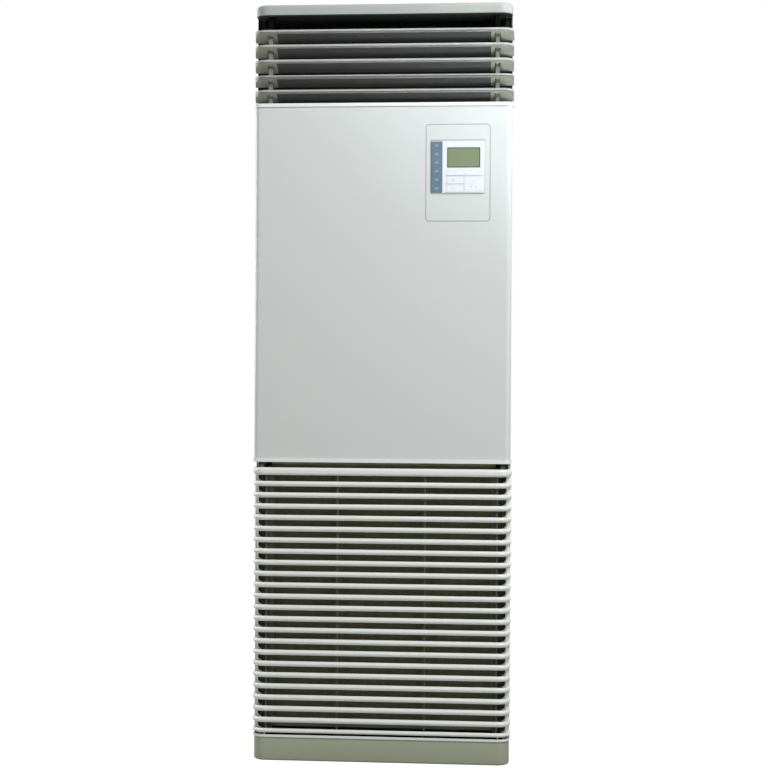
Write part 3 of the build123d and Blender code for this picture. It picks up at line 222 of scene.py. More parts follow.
# Fine moulded or sprayed grain.
GRAIN_DETAIL = 3.0
grain, grain_in, grain_out = new_group("fine_grain", [("Scale", FLOAT, 900.0)], [("Mask", FLOAT)])
grain_noise = node_of(grain, "ShaderNodeTexNoise", {
    "Vector": place_of(grain), "Scale": grain_in.outputs["Scale"], "Detail": GRAIN_DETAIL,
})
feed(grain, grain_out, {"Mask": grain_noise.outputs["Fac"]})

# A slow drift between two tones over the piece.
DRIFT_DETAIL = 2.0
drift, drift_in, drift_out = new_group(
    "tone_drift",
    [("Colour", COLOUR, (0.8, 0.8, 0.8, 1)), ("Shade", COLOUR, (0.7, 0.7, 0.7, 1)), ("Scale", FLOAT, 4.0)],
    [("Colour", COLOUR)],
)
drift_noise = node_of(drift, "ShaderNodeTexNoise", {
    "Vector": place_of(drift), "Scale": drift_in.outputs["Scale"], "Detail": DRIFT_DETAIL,
})
drift_tone = blend(drift, drift_noise.outputs["Fac"], drift_in.outputs["Colour"], drift_in.outputs["Shade"])
feed(drift, drift_out, {"Colour": drift_tone})

# Dust that settles in patches on what faces up.
DUST_TONE = (0.55, 0.53, 0.48, 1)
DUST_SCALE = 60.0
DUST_DETAIL = 4.0
dust, dust_in, dust_out = new_group(
    "settled_dust", [("Colour", COLOUR, (0.8, 0.8, 0.8, 1)), ("Amount", FLOAT, 0.2)], [("Colour", COLOUR)]
)
dust_facing = split_of(dust, node_of(dust, "ShaderNodeNewGeometry").outputs["Normal"])
dust_noise = node_of(dust, "ShaderNodeTexNoise", {
    "Vector": place_of(dust), "Scale": DUST_SCALE, "Detail": DUST_DETAIL,
})
dust_upward = math_node(dust, "MAXIMUM", dust_facing["Z"])
dust_patchy = math_node(dust, "MULTIPLY", dust_upward, dust_noise.outputs["Fac"])
dust_cover = math_node(dust, "MULTIPLY", dust_patchy, dust_in.outputs["Amount"])
feed(dust, dust_out, {"Colour": blend(dust, dust_cover, dust_in.outputs["Colour"], DUST_TONE)})


def group_node(tree, group, **values):
    """What a group puts out in a material with its own values."""
    made = node_of(tree, "ShaderNodeGroup", node_tree=group)
    feed(tree, made, values)
    return made.outputs[0]


GLOSS_SPREAD = 0.07
BUMP_STRENGTH = 0.5


def finish(name, colour, shade, rough, grain_scale=900.0, grain_depth=0.02, tone_scale=4.0, dusty=0.15,
           metallic=0.0, sheen=0.5):
    """A sprayed or moulded finish: two tones, fine grain (its depth in millimetres), gloss that
    follows the grain, and a little dust."""
    made, tree, shader = new_material(name)
    tone = group_node(tree, drift, Colour=(*colour, 1), Shade=(*shade, 1), Scale=tone_scale)
    fine = group_node(tree, grain, Scale=grain_scale)
    gloss = node_of(tree, "ShaderNodeMapRange", {
        "Value": fine, "To Min": rough - GLOSS_SPREAD, "To Max": rough + GLOSS_SPREAD,
    })
    bump = node_of(tree, "ShaderNodeBump", {
        "Height": fine, "Strength": BUMP_STRENGTH, "Distance": grain_depth / 1000,
    })
    feed(tree, shader, {
        "Base Color": group_node(tree, dust, Colour=tone, Amount=dusty),
        "Roughness": gloss.outputs["Result"],
        "Metallic": metallic,
        "Specular IOR Level": sheen,
        "Normal": bump.outputs["Normal"],
    })
    return made


def dress(material, *nodes):
    """Gives CAD nodes their finish."""
    for node in nodes:
        mesh = cad[node].data
        mesh.materials.clear()
        mesh.materials.append(material)


casing_paint = finish("casing_paint", (0.66, 0.69, 0.66), (0.62, 0.65, 0.62), 0.42, 700.0, 0.03, 2.0)
dress(casing_paint, "side_panel_left", "side_panel_right")


# ---- Rear sheet, floor pan and hidden sheets ----
# Folded steel with a bare zinc coat, whose cells show as patches of lighter and darker
# grey. All of these sheets are screwed or hooked to the casing.

ZINC_CELL = 90.0
ZINC_TONES = ((0.42, 0.44, 0.46, 1), (0.60, 0.62, 0.63, 1))
ZINC_GLOSS = (0.32, 0.5)
ZINC_DUST = 0.4
ZINC_METAL = 0.85
zinc, zinc_tree, zinc_shader = new_material("zinc_sheet")
zinc_cells = node_of(zinc_tree, "ShaderNodeTexVoronoi", {"Vector": place_of(zinc_tree), "Scale": ZINC_CELL})
zinc_mask = zinc_cells.outputs["Color"]
zinc_tone = ramp_of(zinc_tree, zinc_mask, ZINC_TONES)
zinc_gloss = node_of(zinc_tree, "ShaderNodeMapRange", {
    "Value": zinc_mask, "To Min": ZINC_GLOSS[0], "To Max": ZINC_GLOSS[1],
})
feed(zinc_tree, zinc_shader, {
    "Base Color": group_node(zinc_tree, dust, Colour=zinc_tone, Amount=ZINC_DUST),
    "Roughness": zinc_gloss.outputs["Result"],
    "Metallic": ZINC_METAL,
})
dress(zinc, "back_panel", "base_pan", "cross_rail", "wall_plate", "control_box",
      "control_box_lid", "evaporator_end_plates", "grille_hinges")


# ---- Kick plate ----
# Sprayed sheet that wraps the foot of the unit, with a rolled lower edge and a fold under
# it. It is hooked onto the floor pan, so no screw shows.

def plan_route(half, front, rear, corner, steps=14):
    """Points round the front in plan, right to left, each with the way out of the piece."""
    route = [(half, rear, 1.0, 0.0)]
    for side in (1, -1):
        for k in range(steps + 1):
            turn = k / steps if side == 1 else 1 - k / steps
            across = math.cos(math.pi / 2 * turn)
            ahead = math.sin(math.pi / 2 * turn)
            place = (side * (half - corner + corner * across), front + corner - corner * ahead)
            route.append((*place, side * across, -ahead))
    route.append((-half, rear, -1.0, 0.0))
    return route


def rounded(corners, steps=5):
    """An outline from corners (depth, height, radius), each rounded by its radius."""
    outline = []
    for i, (depth, height, radius) in enumerate(corners):
        here = Vector((depth, height))
        before = (Vector(corners[i - 1][:2]) - here).normalized()
        after = (Vector(corners[(i + 1) % len(corners)][:2]) - here).normalized()
        if radius == 0:
            outline.append(tuple(here))
            continue
        half_angle = before.angle(after) / 2
        reach = radius / math.tan(half_angle)
        centre = here + (before + after).normalized() * (radius / math.sin(half_angle))
        start = (here + before * reach - centre).normalized()
        end = (here + after * reach - centre).normalized()
        for k in range(steps + 1):
            outline.append(tuple(centre + start.slerp(end, k / steps) * radius))
    return outline


def bridge(shape, near, far):
    """Joins two loops of equal count by a band of faces."""
    for i in range(len(near)):
        j = (i + 1) % len(near)
        shape.faces.new((near[i], near[j], far[j], far[i]))


def swept(section, route):
    """A closed body: an outline of depth and height carried along a plan route."""
    shape = bmesh.new()
    rings = []
    for x, y, out_x, out_y in route:
        points = [(x - out_x * depth, y - out_y * depth, height) for depth, height in section]
        rings.append([shape.verts.new(point) for point in points])
    for near, far in zip(rings, rings[1:]):
        bridge(shape, near, far)
    shape.faces.new(rings[0])
    shape.faces.new(list(reversed(rings[-1])))
    return shape


def to_scene(mesh, name):
    """An object at the origin for a mesh whose place is in its points."""
    made = bpy.data.objects.new(name, mesh)
    bpy.context.scene.collection.objects.link(made)
    return made


def meshed(shape, name):
    """The mesh of a shape, with its faces turned outwards."""
    bmesh.ops.recalc_face_normals(shape, faces=shape.faces)
    mesh = bpy.data.meshes.new(name)
    shape.to_mesh(mesh)
    shape.free()
    return mesh


SHARP_ANGLE = math.radians(35)


def piece(shape, name, material, body, slot, *nodes):
    """Makes a shape a piece that rides on a body, and stands for CAD nodes if any are named."""
    mesh = meshed(shape, name)
    mesh.shade_smooth()
    mesh.set_sharp_from_angle(angle=SHARP_ANGLE)
    mesh.materials.append(material)
    made = to_scene(mesh, name)
    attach(made, body)
    if nodes:
        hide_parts(*nodes)


KICK_CORNER = 0.028
KICK_SHEET = 0.0012
KICK_ROLL = 0.005
KICK_FOLD = 0.020
KICK_RIM = 0.0004
kick_low, kick_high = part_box("kick_plate")
kick_route = plan_route(kick_high[0], kick_low[1], kick_high[1], KICK_CORNER)
kick_outline = rounded([
    (0.0, kick_low[2], KICK_ROLL),
    (KICK_FOLD, kick_low[2], 0.0),
    (KICK_FOLD, kick_low[2] + KICK_SHEET, 0.0),
    (KICK_SHEET, kick_low[2] + KICK_SHEET, KICK_ROLL - KICK_SHEET),
    (KICK_SHEET, kick_high[2], 0.0),
    (0.0, kick_high[2], KICK_RIM),
])
kick_paint = finish("kick_paint", (0.40, 0.43, 0.325), (0.37, 0.40, 0.30), 0.45, 700.0, 0.03)
piece(swept(kick_outline, kick_route), "kick_skin", kick_paint, "casing", "kick_grey", "kick_plate")


# ---- Light strips ----
# Three moulded strips clipped onto the sheet edges: over the kick plate and under and over
# the front panel. Their noses are rounded and they wrap both corners.

strip_plastic = finish("strip_plastic", (0.89, 0.915, 0.905), (0.86, 0.885, 0.875), 0.34, 800.0, 0.01)
dress(strip_plastic, "casing_trims")


# ---- Grille bars ----
# The bars of the inlet grille are moulded in pale plastic. They have a rounded nose and wrap
# both corners, and ribs and posts behind carry them.

def polyline(name, points):
    """An open curve through plain points."""
    data = bpy.data.curves.new(name, "CURVE")
    data.dimensions = "3D"
    run = data.splines.new("POLY")
    run.points.add(len(points) - 1)
    for point, place in zip(run.points, points):
        point.co = (*place, 1)
    return to_scene(data, name)


def new_tree(name, sockets):
    """A geometry node tree with geometry in and out, and its named sizes."""
    tree = bpy.data.node_groups.new(name, "GeometryNodeTree")
    tree.interface.new_socket("Geometry", in_out="INPUT", socket_type="NodeSocketGeometry")
    for label, kind in sockets:
        tree.interface.new_socket(label, in_out="INPUT", socket_type=kind)
    tree.interface.new_socket("Geometry", in_out="OUTPUT", socket_type="NodeSocketGeometry")
    return tree, node_of(tree, "NodeGroupInput"), node_of(tree, "NodeGroupOutput")


def grown(host, tree, name, **values):
    """Runs a tree on an object with these sizes, and keeps the result as a plain mesh."""
    modifier = host.modifiers.new("grow", "NODES")
    modifier.node_group = tree
    sockets = {item.name: item.identifier for item in tree.interface.items_tree if item.in_out == "INPUT"}
    for label, value in values.items():
        modifier[sockets[label]] = value
    bpy.context.view_layer.update()
    evaluated = host.evaluated_get(bpy.context.evaluated_depsgraph_get())
    mesh = bpy.data.meshes.new_from_object(evaluated)
    mesh.name = name
    bpy.data.objects.remove(host)
    return to_scene(mesh, name)


def vector_of(tree, ways):
    """A vector from some of its parts."""
    return node_of(tree, "ShaderNodeCombineXYZ", ways).outputs["Vector"]


def finish_tree(tree, tree_in, tree_out, instances, middle=None):
    """Ends a tree: real bodies moved to their middle, smooth faces, the finish and the way out."""
    bodies = node_of(tree, "GeometryNodeRealizeInstances", {"Geometry": instances})
    if middle is not None:
        bodies = node_of(tree, "GeometryNodeTransform", {
            "Geometry": bodies.outputs[0], "Translation": middle,
        })
    smooth = node_of(tree, "GeometryNodeSetShadeSmooth", {"Geometry": bodies.outputs[0]})
    dressed = node_of(tree, "GeometryNodeSetMaterial", {
        "Geometry": smooth.outputs[0], "Material": tree_in.outputs["Finish"],
    })
    feed(tree, tree_out, {"Geometry": dressed.outputs[0]})


MATERIAL = "NodeSocketMaterial"
COUNT = "NodeSocketInt"
BEND_POINTS = 14
NOSE_POINTS = 6
BAR_BACK_EDGE = 0.0008
bars, bars_in, bars_out = new_tree(
    "wrapped_bars",
    [("Corner", FLOAT), ("Height", FLOAT), ("Depth", FLOAT), ("Nose", FLOAT), ("Pitch", FLOAT),
     ("Count", COUNT), ("Top", FLOAT), ("Finish", MATERIAL)],
)
bar_size = bars_in.outputs
half_depth = math_node(bars, "MULTIPLY", bar_size["Depth"], 0.5)
bar_path = node_of(bars, "GeometryNodeFilletCurve", {
    "Curve": bar_size["Geometry"], "Radius": bar_size["Corner"], "Count": BEND_POINTS,
}, mode="POLY")
bar_block = node_of(bars, "GeometryNodeCurvePrimitiveQuadrilateral", {
    "Width": bar_size["Depth"], "Height": bar_size["Height"],
})
bar_section = node_of(bars, "GeometryNodeSetPosition", {
    "Geometry": bar_block.outputs["Curve"], "Offset": vector_of(bars, {"X": half_depth}),
})
section_place = node_of(bars, "GeometryNodeInputPosition").outputs["Position"]
on_nose = node_of(bars, "FunctionNodeCompare", {
    "A": split_of(bars, section_place)["X"], "B": half_depth,
}, data_type="FLOAT", operation="LESS_THAN")
edge_radius = node_of(bars, "GeometryNodeSwitch", {
    "Switch": on_nose.outputs["Result"], "False": BAR_BACK_EDGE, "True": bar_size["Nose"],
}, input_type="FLOAT")
bar_rounded = node_of(bars, "GeometryNodeFilletCurve", {
    "Curve": bar_section.outputs["Geometry"], "Radius": edge_radius.outputs["Output"], "Count": NOSE_POINTS,
}, mode="POLY")
bar_body = node_of(bars, "GeometryNodeCurveToMesh", {
    "Curve": bar_path.outputs["Curve"], "Profile Curve": bar_rounded.outputs["Curve"], "Fill Caps": True,
})
bar_rows = node_of(bars, "GeometryNodeMeshLine", {
    "Count": bar_size["Count"],
    "Start Location": vector_of(bars, {"Z": bar_size["Top"]}),
    "Offset": vector_of(bars, {"Z": math_node(bars, "MULTIPLY", bar_size["Pitch"], -1.0)}),
})
bar_copies = node_of(bars, "GeometryNodeInstanceOnPoints", {
    "Points": bar_rows.outputs["Mesh"], "Instance": bar_body.outputs["Mesh"],
})
finish_tree(bars, bars_in, bars_out, bar_copies.outputs["Instances"])

GRILLE_CORNER = 0.028
BAR_DEPTH = 0.008
BAR_HEIGHT = 0.012
BAR_PITCH = 0.0261
BAR_COUNT = 22
BAR_NOSE = 0.0058
NOSE_SHARE = 0.48
BAR_SETBACK = 0.0008
FIRST_BAR = 0.0175
LAST_BAR = 0.009
grille_low, grille_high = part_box("inlet_grille")
TONGUE = 0.006
grille_top = grille_high[2] - TONGUE
bar_gap = BAR_PITCH - BAR_HEIGHT
bar_rear = kick_high[1] - BAR_SETBACK
half_wide, bar_front = grille_high[0], grille_low[1]
wrap_route = [(half_wide, bar_rear, 0), (half_wide, bar_front, 0), (-half_wide, bar_front, 0),
              (-half_wide, bar_rear, 0)]
grille_plastic = finish("grille_plastic", (0.87, 0.90, 0.862), (0.84, 0.87, 0.832), 0.3, 900.0, 0.01)
first_middle = grille_top - FIRST_BAR / 2
second_middle = grille_top - FIRST_BAR - bar_gap - BAR_HEIGHT / 2
for label, height, top, count in (
    ("grille_first_bar", FIRST_BAR, first_middle, 1),
    ("grille_bars", BAR_HEIGHT, second_middle, BAR_COUNT),
    ("grille_last_bar", LAST_BAR, grille_low[2] + LAST_BAR / 2, 1),
):
    made = grown(polyline(label + "_route", wrap_route), bars, label, Corner=GRILLE_CORNER, Height=height,
                 Depth=BAR_DEPTH, Nose=min(BAR_NOSE, NOSE_SHARE * height), Pitch=BAR_PITCH, Count=count,
                 Top=top, Finish=grille_plastic)
    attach(made, "inlet_grille")
    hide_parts("inlet_grille")


# ---- Grille ribs, filter guides and hinge pins ----
# Upright ribs behind the bars. The outer two have lips and stops for the filter and a hinge
# pin at the foot. Two tongues at the top are held by spring catches. Their dark tone is
# painted shade, for the shade behind the bars.

EDGE_STEPS = 2
ROUND = 0.5


def in_order(edges):
    """Each edge once, always in the same order, so that every run gives the same mesh."""
    return list(dict.fromkeys(edges))


def soften(shape, part, edges, width):
    """Rounds edges of a part and adds it to a shape. Each part is rounded on its own, so that
    its faces come in the same order in every run."""
    bmesh.ops.bevel(part, geom=edges, offset=width, segments=EDGE_STEPS, profile=ROUND, affect="EDGES")
    mesh = bpy.data.meshes.new("part")
    part.to_mesh(mesh)
    part.free()
    shape.from_mesh(mesh)
    bpy.data.meshes.remove(mesh)


def soft_box(shape, low, high, edge):
    """Adds a closed box with rounded edges to a shape."""
    size = [b - a for a, b in zip(low, high)]
    middle = [(a + b) / 2 for a, b in zip(low, high)]
    place = Matrix.Translation(middle) @ Matrix.Diagonal((*size, 1.0))
    part = bmesh.new()
    corners = bmesh.ops.create_cube(part, size=1.0, matrix=place)["verts"]
    soften(shape, part, in_order(side for corner in corners for side in corner.link_edges), edge)


def side_box(shape, side, across, front, rear, low, high, edge):
    """Adds a soft box on the right side (1) or the left side (-1)."""
    first, last = sorted(side * x for x in across)
    soft_box(shape, (first, front, low), (last, rear, high), edge)


def soft_rod(shape, start, end, radius, edge, sides=24):
    """Adds a closed round rod with softened ends to a shape."""
    way = Vector(end) - Vector(start)
    turn = way.to_track_quat("Z", "Y").to_matrix().to_4x4()
    place = Matrix.Translation((Vector(start) + Vector(end)) / 2) @ turn
    part = bmesh.new()
    ends = bmesh.ops.create_cone(part, cap_ends=True, segments=sides, radius1=radius, radius2=radius,
                                 depth=way.length, matrix=place)["verts"]
    rims = in_order(side for corner in ends for side in corner.link_edges if len(side.link_faces) == 2
                    and any(len(face.verts) == sides for face in side.link_faces))
    soften(shape, part, rims, edge)


RIB_EDGE = 0.0004
PIN_EDGE = 0.0003
RIB_X = 0.101
RIB_THICK = 0.003
RIB_DEPTH = 0.009
GUIDE_X = 0.267
GUIDE_LIP = 0.008
GUIDE_LIP_THICK = 0.002
LIP_GAP = 0.0003
FILTER_STOP = 0.003
REAR_POST = 0.006
REAR_POST_DEPTH = 0.0072
TONGUE_X = (0.274, 0.284)
PIN_BACK = 0.0115
PIN_RISE = 0.0046
PIN_RADIUS = 0.0015
PIN_END = 0.2741
SINK = 0.001
filter_low, filter_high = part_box("air_filter_frame")
rib_front = grille_low[1] + BAR_DEPTH - SINK
rib_rear = grille_low[1] + BAR_DEPTH + RIB_DEPTH
lip_front = filter_low[1] - LIP_GAP
lip_rear = filter_high[1] + LIP_GAP
guide_inner = GUIDE_X - RIB_THICK / 2
guide_outer = GUIDE_X + RIB_THICK / 2
rib_across = (RIB_X - RIB_THICK / 2, RIB_X + RIB_THICK / 2)
lip_across = (guide_inner - GUIDE_LIP, guide_inner + SINK)
foot = grille_low[2]
stop_top = filter_low[2] - LIP_GAP
ribs = bmesh.new()
for side in (-1, 1):
    for across, front, rear, low, high in (
        (rib_across, rib_front, rib_rear, foot, grille_top),
        ((guide_inner, guide_outer), rib_front, lip_rear + GUIDE_LIP_THICK, foot, grille_top),
        (lip_across, lip_front - GUIDE_LIP_THICK, lip_front, foot, grille_top),
        (lip_across, lip_rear, lip_rear + GUIDE_LIP_THICK, foot, grille_top),
        (lip_across, lip_front, lip_rear, stop_top - FILTER_STOP, stop_top),
        (TONGUE_X, rib_front, rib_rear, grille_top - SINK, grille_high[2]),
    ):
        side_box(ribs, side, across, front, rear, low, high, RIB_EDGE)
    soft_rod(ribs, (side * GUIDE_X, grille_low[1] + PIN_BACK, foot + PIN_RISE),
             (side * PIN_END, grille_low[1] + PIN_BACK, foot + PIN_RISE), PIN_RADIUS, PIN_EDGE)
# The dark tone of the ribs, lips, stops, tongues and pins is painted shade.
rib_painted_shade = finish("rib_painted_shade", (0.10, 0.10, 0.075), (0.08, 0.08, 0.06), 0.55)
piece(ribs, "grille_ribs", rib_painted_shade, "inlet_grille", "filter_frame", "inlet_grille")


# ---- Grille end posts and corner ribs ----
# Posts in pale plastic behind the ends of the bars, and an upright rib inside each corner
# with a small curved gusset on every bar but the first.

POST_EDGE = 0.0006
end_posts = bmesh.new()
post_outer = grille_high[0] - BAR_DEPTH + REAR_POST
for side in (-1, 1):
    side_box(end_posts, side, (post_outer - REAR_POST, post_outer), bar_rear - REAR_POST_DEPTH, bar_rear,
             foot, grille_top, POST_EDGE)


def prism(shape, outline, front, rear):
    """Adds a closed plate with an outline in X and Z."""
    near = [shape.verts.new((x, front, z)) for x, z in outline]
    far = [shape.verts.new((x, rear, z)) for x, z in outline]
    shape.faces.new(near)
    shape.faces.new(list(reversed(far)))
    bridge(shape, far, near)


CORNER_RIB_X = (0.2875, 0.2951)
CORNER_RIB_BACK = 0.020
CORNER_RIB_THICK = 0.003
CORNER_RIB_EDGE = 0.0005
GUSSET_RADIUS = 0.009
GUSSET_FOOT = 0.002
GUSSET_STEPS = 8
rib_near = grille_low[1] + CORNER_RIB_BACK
gusset_base = [(0.0, -GUSSET_FOOT), (-GUSSET_RADIUS, -GUSSET_FOOT)]
gusset_turns = [math.pi / 2 * k / GUSSET_STEPS for k in range(GUSSET_STEPS + 1)]
gusset_curve = [(-GUSSET_RADIUS * (1 - math.sin(turn)), GUSSET_RADIUS * (1 - math.cos(turn)))
                for turn in gusset_turns]
bar_tops = [foot + LAST_BAR] + [second_middle + BAR_HEIGHT / 2 - i * BAR_PITCH for i in range(BAR_COUNT)]
pale_plastic = finish("pale_plastic", (0.84, 0.86, 0.80), (0.80, 0.82, 0.76), 0.45, 900.0, 0.01)
for side in (-1, 1):
    side_box(end_posts, side, CORNER_RIB_X, rib_near, rib_near + CORNER_RIB_THICK, foot, grille_top,
             CORNER_RIB_EDGE)
    for bar_top in bar_tops:
        outline = [(side * (CORNER_RIB_X[0] + SINK / 2 + x), bar_top + z)
                   for x, z in gusset_base + gusset_curve]
        prism(end_posts, outline, rib_near + SINK / 2, rib_near + CORNER_RIB_THICK - SINK / 2)
piece(end_posts, "grille_end_posts", pale_plastic, "inlet_grille", "grille_plastic", "inlet_grille")


# ---- Foam seals beside the grille ----
# Olive grey foam strips stuck on the folds of the side sheets. They stop the air that would
# pass beside the grille and the filter. Their dark tone is painted shade behind the bars.

FLANGE_X = (0.2832, 0.2916)
FILTER_SIDE_X = (0.2690, 0.2835)
CATCH_FOOT = 0.675
SEAL_THICK = 0.0009
SEAL_END = 0.001
SEAL_EDGE = 0.0002
# The dark olive tone of this foam is painted shade behind the bars.
grille_shade_foam = finish("grille_shade_foam", (0.082, 0.079, 0.050), (0.066, 0.064, 0.040), 0.95, 2200.0, 0.2, 60.0)
panel_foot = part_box("front_panel")[0][2]
casing_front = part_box("side_panel_left")[0][1]
seals = bmesh.new()
for side in (-1, 1):
    for across, high in ((FLANGE_X, panel_foot - SEAL_END), (FILTER_SIDE_X, CATCH_FOOT)):
        side_box(seals, side, across, casing_front - SEAL_THICK, casing_front, kick_high[2] + TONGUE, high,
                 SEAL_EDGE)
piece(seals, "grille_shade_seals", grille_shade_foam, "casing", "insulation")


# ---- Filter frame and grille catches ----
# A dark moulded frame with cross bars. It slides down between the lips of the grille's outer
# ribs and rests on two stops. The grille's catches are moulded in the same plastic.

frame_plastic = finish("filter_plastic", (0.130, 0.125, 0.080), (0.110, 0.105, 0.068), 0.6)
dress(frame_plastic, "air_filter_frame", "grille_catches")


# ---- Filter net ----
# A net of round dark yarn, stretched in the filter's frame. The upright yarns lie a little
# behind the level ones and are joined to them where they cross.

YARN_SIDES = 6
net, net_in, net_out = new_tree(
    "woven_net",
    [("Width", FLOAT), ("Height", FLOAT), ("Pitch", FLOAT), ("Yarn", FLOAT), ("Middle", "NodeSocketVector"),
     ("Finish", MATERIAL)],
)
net_size = net_in.outputs
yarn_section = node_of(net, "GeometryNodeCurvePrimitiveCircle", {
    "Radius": net_size["Yarn"], "Resolution": YARN_SIDES,
})
both_ways = node_of(net, "GeometryNodeJoinGeometry")
for length, spread, way, row, layer in (
    ("Height", "Width", "Z", "X", 0.5),
    ("Width", "Height", "X", "Z", -0.5),
):
    half_length = math_node(net, "MULTIPLY", net_size[length], 0.5)
    yarn = node_of(net, "GeometryNodeCurvePrimitiveLine", {
        "Start": vector_of(net, {way: math_node(net, "MULTIPLY", half_length, -1.0)}),
        "End": vector_of(net, {way: half_length}),
    })
    yarn_body = node_of(net, "GeometryNodeCurveToMesh", {
        "Curve": yarn.outputs["Curve"], "Profile Curve": yarn_section.outputs["Curve"], "Fill Caps": True,
    })
    count = math_node(net, "FLOOR", math_node(net, "DIVIDE", net_size[spread], net_size["Pitch"]))
    whole = math_node(net, "MULTIPLY", count, net_size["Pitch"])
    first_yarn = {
        row: math_node(net, "MULTIPLY", whole, -0.5),
        "Y": math_node(net, "MULTIPLY", net_size["Yarn"], layer),
    }
    yarns = node_of(net, "GeometryNodeMeshLine", {
        "Count": math_node(net, "ADD", count, 1.0),
        "Start Location": vector_of(net, first_yarn),
        "Offset": vector_of(net, {row: net_size["Pitch"]}),
    })
    copies = node_of(net, "GeometryNodeInstanceOnPoints", {
        "Points": yarns.outputs["Mesh"], "Instance": yarn_body.outputs["Mesh"],
    })
    feed(net, both_ways, {"Geometry": copies.outputs["Instances"]})
finish_tree(net, net_in, net_out, both_ways.outputs["Geometry"], net_size["Middle"])

NET_PITCH = 0.0026
NET_YARN = 0.00055
net_plastic = finish("net_yarn", (0.170, 0.161, 0.088), (0.138, 0.130, 0.070), 0.7, 2500.0, 0.01)
net_low, net_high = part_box("air_filter_mesh")
filter_net = grown(
    to_scene(bpy.data.meshes.new("net_host"), "net_host"), net, "filter_net",
    Width=net_high[0] - net_low[0] - 2 * NET_YARN, Height=net_high[2] - net_low[2] - 2 * NET_YARN,
    Pitch=NET_PITCH, Yarn=NET_YARN, Middle=[(a + b) / 2 for a, b in zip(net_low, net_high)],
    Finish=net_plastic,
)
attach(filter_net, "air_filter")
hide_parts("air_filter_mesh")


# ---- Foam strip over the filter ----
# Olive grey foam glued to the fan plate. It closes the way round the top of the filter.

STRIP_HALF = 0.262
STRIP_FOOT = 0.670
STRIP_HEAD = 0.6935
STRIP_THICK = 0.002
STRIP_EDGE = 0.0004
plate_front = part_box("bell_mouth")[0][1]
strip_foam = finish("strip_foam", (0.42, 0.41, 0.27), (0.36, 0.35, 0.23), 0.95, 2200.0, 0.2, 60.0)
foam_strip = bmesh.new()
soft_box(foam_strip, (-STRIP_HALF, plate_front - STRIP_THICK, STRIP_FOOT),
         (STRIP_HALF, plate_front, STRIP_HEAD), STRIP_EDGE)
piece(foam_strip, "plate_seal", strip_foam, "casing", "insulation")


# ---- Top cap ----
# A deep lid with rounded top edges, moulded in grey plastic. It is open below and drops over
# the casing.

cap_plastic = finish("cap_plastic", (0.385, 0.415, 0.390), (0.360, 0.388, 0.364), 0.4, 900.0, 0.03)
dress(cap_plastic, "top_cap")


# ---- Front panel and controller cover ----
# Sprayed sheet. The cover is set flush in the panel and held by a lip behind it. A rubber
# lip fills the seam round the cover.

panel_paint = finish("panel_paint", (0.699, 0.738, 0.727), (0.676, 0.715, 0.704), 0.36, 650.0, 0.03, 1.5)
dress(panel_paint, "front_panel", "controller_cover")


def rounded_frame(x0, x1, z0, z1, radius, steps=8):
    """Points round a rectangle with rounded corners, in X and Z."""
    points = []
    middles = ((x1 - radius, z1 - radius), (x0 + radius, z1 - radius), (x0 + radius, z0 + radius),
               (x1 - radius, z0 + radius))
    for k, (x, z) in enumerate(middles):
        for i in range(steps + 1):
            angle = math.pi / 2 * (k + i / steps)
            points.append((x + radius * math.cos(angle), z + radius * math.sin(angle)))
    return points


def ring(shape, outer, inner, front, rear):
    """Adds a closed flat ring between two outlines of equal count."""
    loops = [[shape.verts.new((x, y, z)) for x, z in outline]
             for outline, y in ((outer, front), (inner, front), (inner, rear), (outer, rear))]
    for near, far in zip(loops, loops[1:] + loops[:1]):
        bridge(shape, near, far)


COVER_RADIUS = 0.008
COVER_UNDERLAP = 0.006
SEAM = 0.0008
LIP = 0.0010
LIP_RISE = 0.0003
cover_low, cover_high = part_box("controller_cover")
cover_x0, cover_x1 = cover_low[0] + COVER_UNDERLAP, cover_high[0] - COVER_UNDERLAP
cover_z0, cover_z1 = cover_low[2] + COVER_UNDERLAP, cover_high[2] - COVER_UNDERLAP
seam = bmesh.new()
ring(seam,
     rounded_frame(cover_x0 - SEAM, cover_x1 + SEAM, cover_z0 - SEAM, cover_z1 + SEAM, COVER_RADIUS + SEAM),
     rounded_frame(cover_x0 + LIP, cover_x1 - LIP, cover_z0 + LIP, cover_z1 - LIP, COVER_RADIUS - LIP),
     cover_low[1] - LIP_RISE, cover_low[1] + LIP_RISE)
lip_rubber = finish("lip_rubber", (0.36, 0.375, 0.36), (0.32, 0.335, 0.32), 0.6, 2000.0, 0.02)
piece(seam, "cover_lip", lip_rubber, "casing", "shell_white")


# ---- Louvres ----
# Five moulded louvres that wrap both corners and snap into two posts. Each has a pale lip
# over a band of painted shade, and a dark felt lining stuck under its blade.

VANE_TOP = 1.6912
VANE_PITCH = 0.0346
LIP_PALE = 0.0040
FELT_HALF = 0.247
TOP_MARGIN = 0.001
UPRIGHT_LIMIT = 0.7
LIP_TONE = (0.46, 0.485, 0.48, 1)
LIP_SHADE = (0.43, 0.455, 0.45, 1)
# The band tones below are painted shade under the pale part of each lip.
SHADE_BAND_TONE = (0.13, 0.13, 0.12, 1)
SHADE_BAND_END_TONE = (0.22, 0.225, 0.19, 1)
SHADE_BAND_SECOND = (0.12, 0.12, 0.105, 1)


def opened(material):
    """The tree and the shader of a finish, and the colour that feeds the shader."""
    tree = material.node_tree
    shader = tree.nodes["Principled BSDF"]
    return tree, shader, shader.inputs["Base Color"].links[0].from_socket


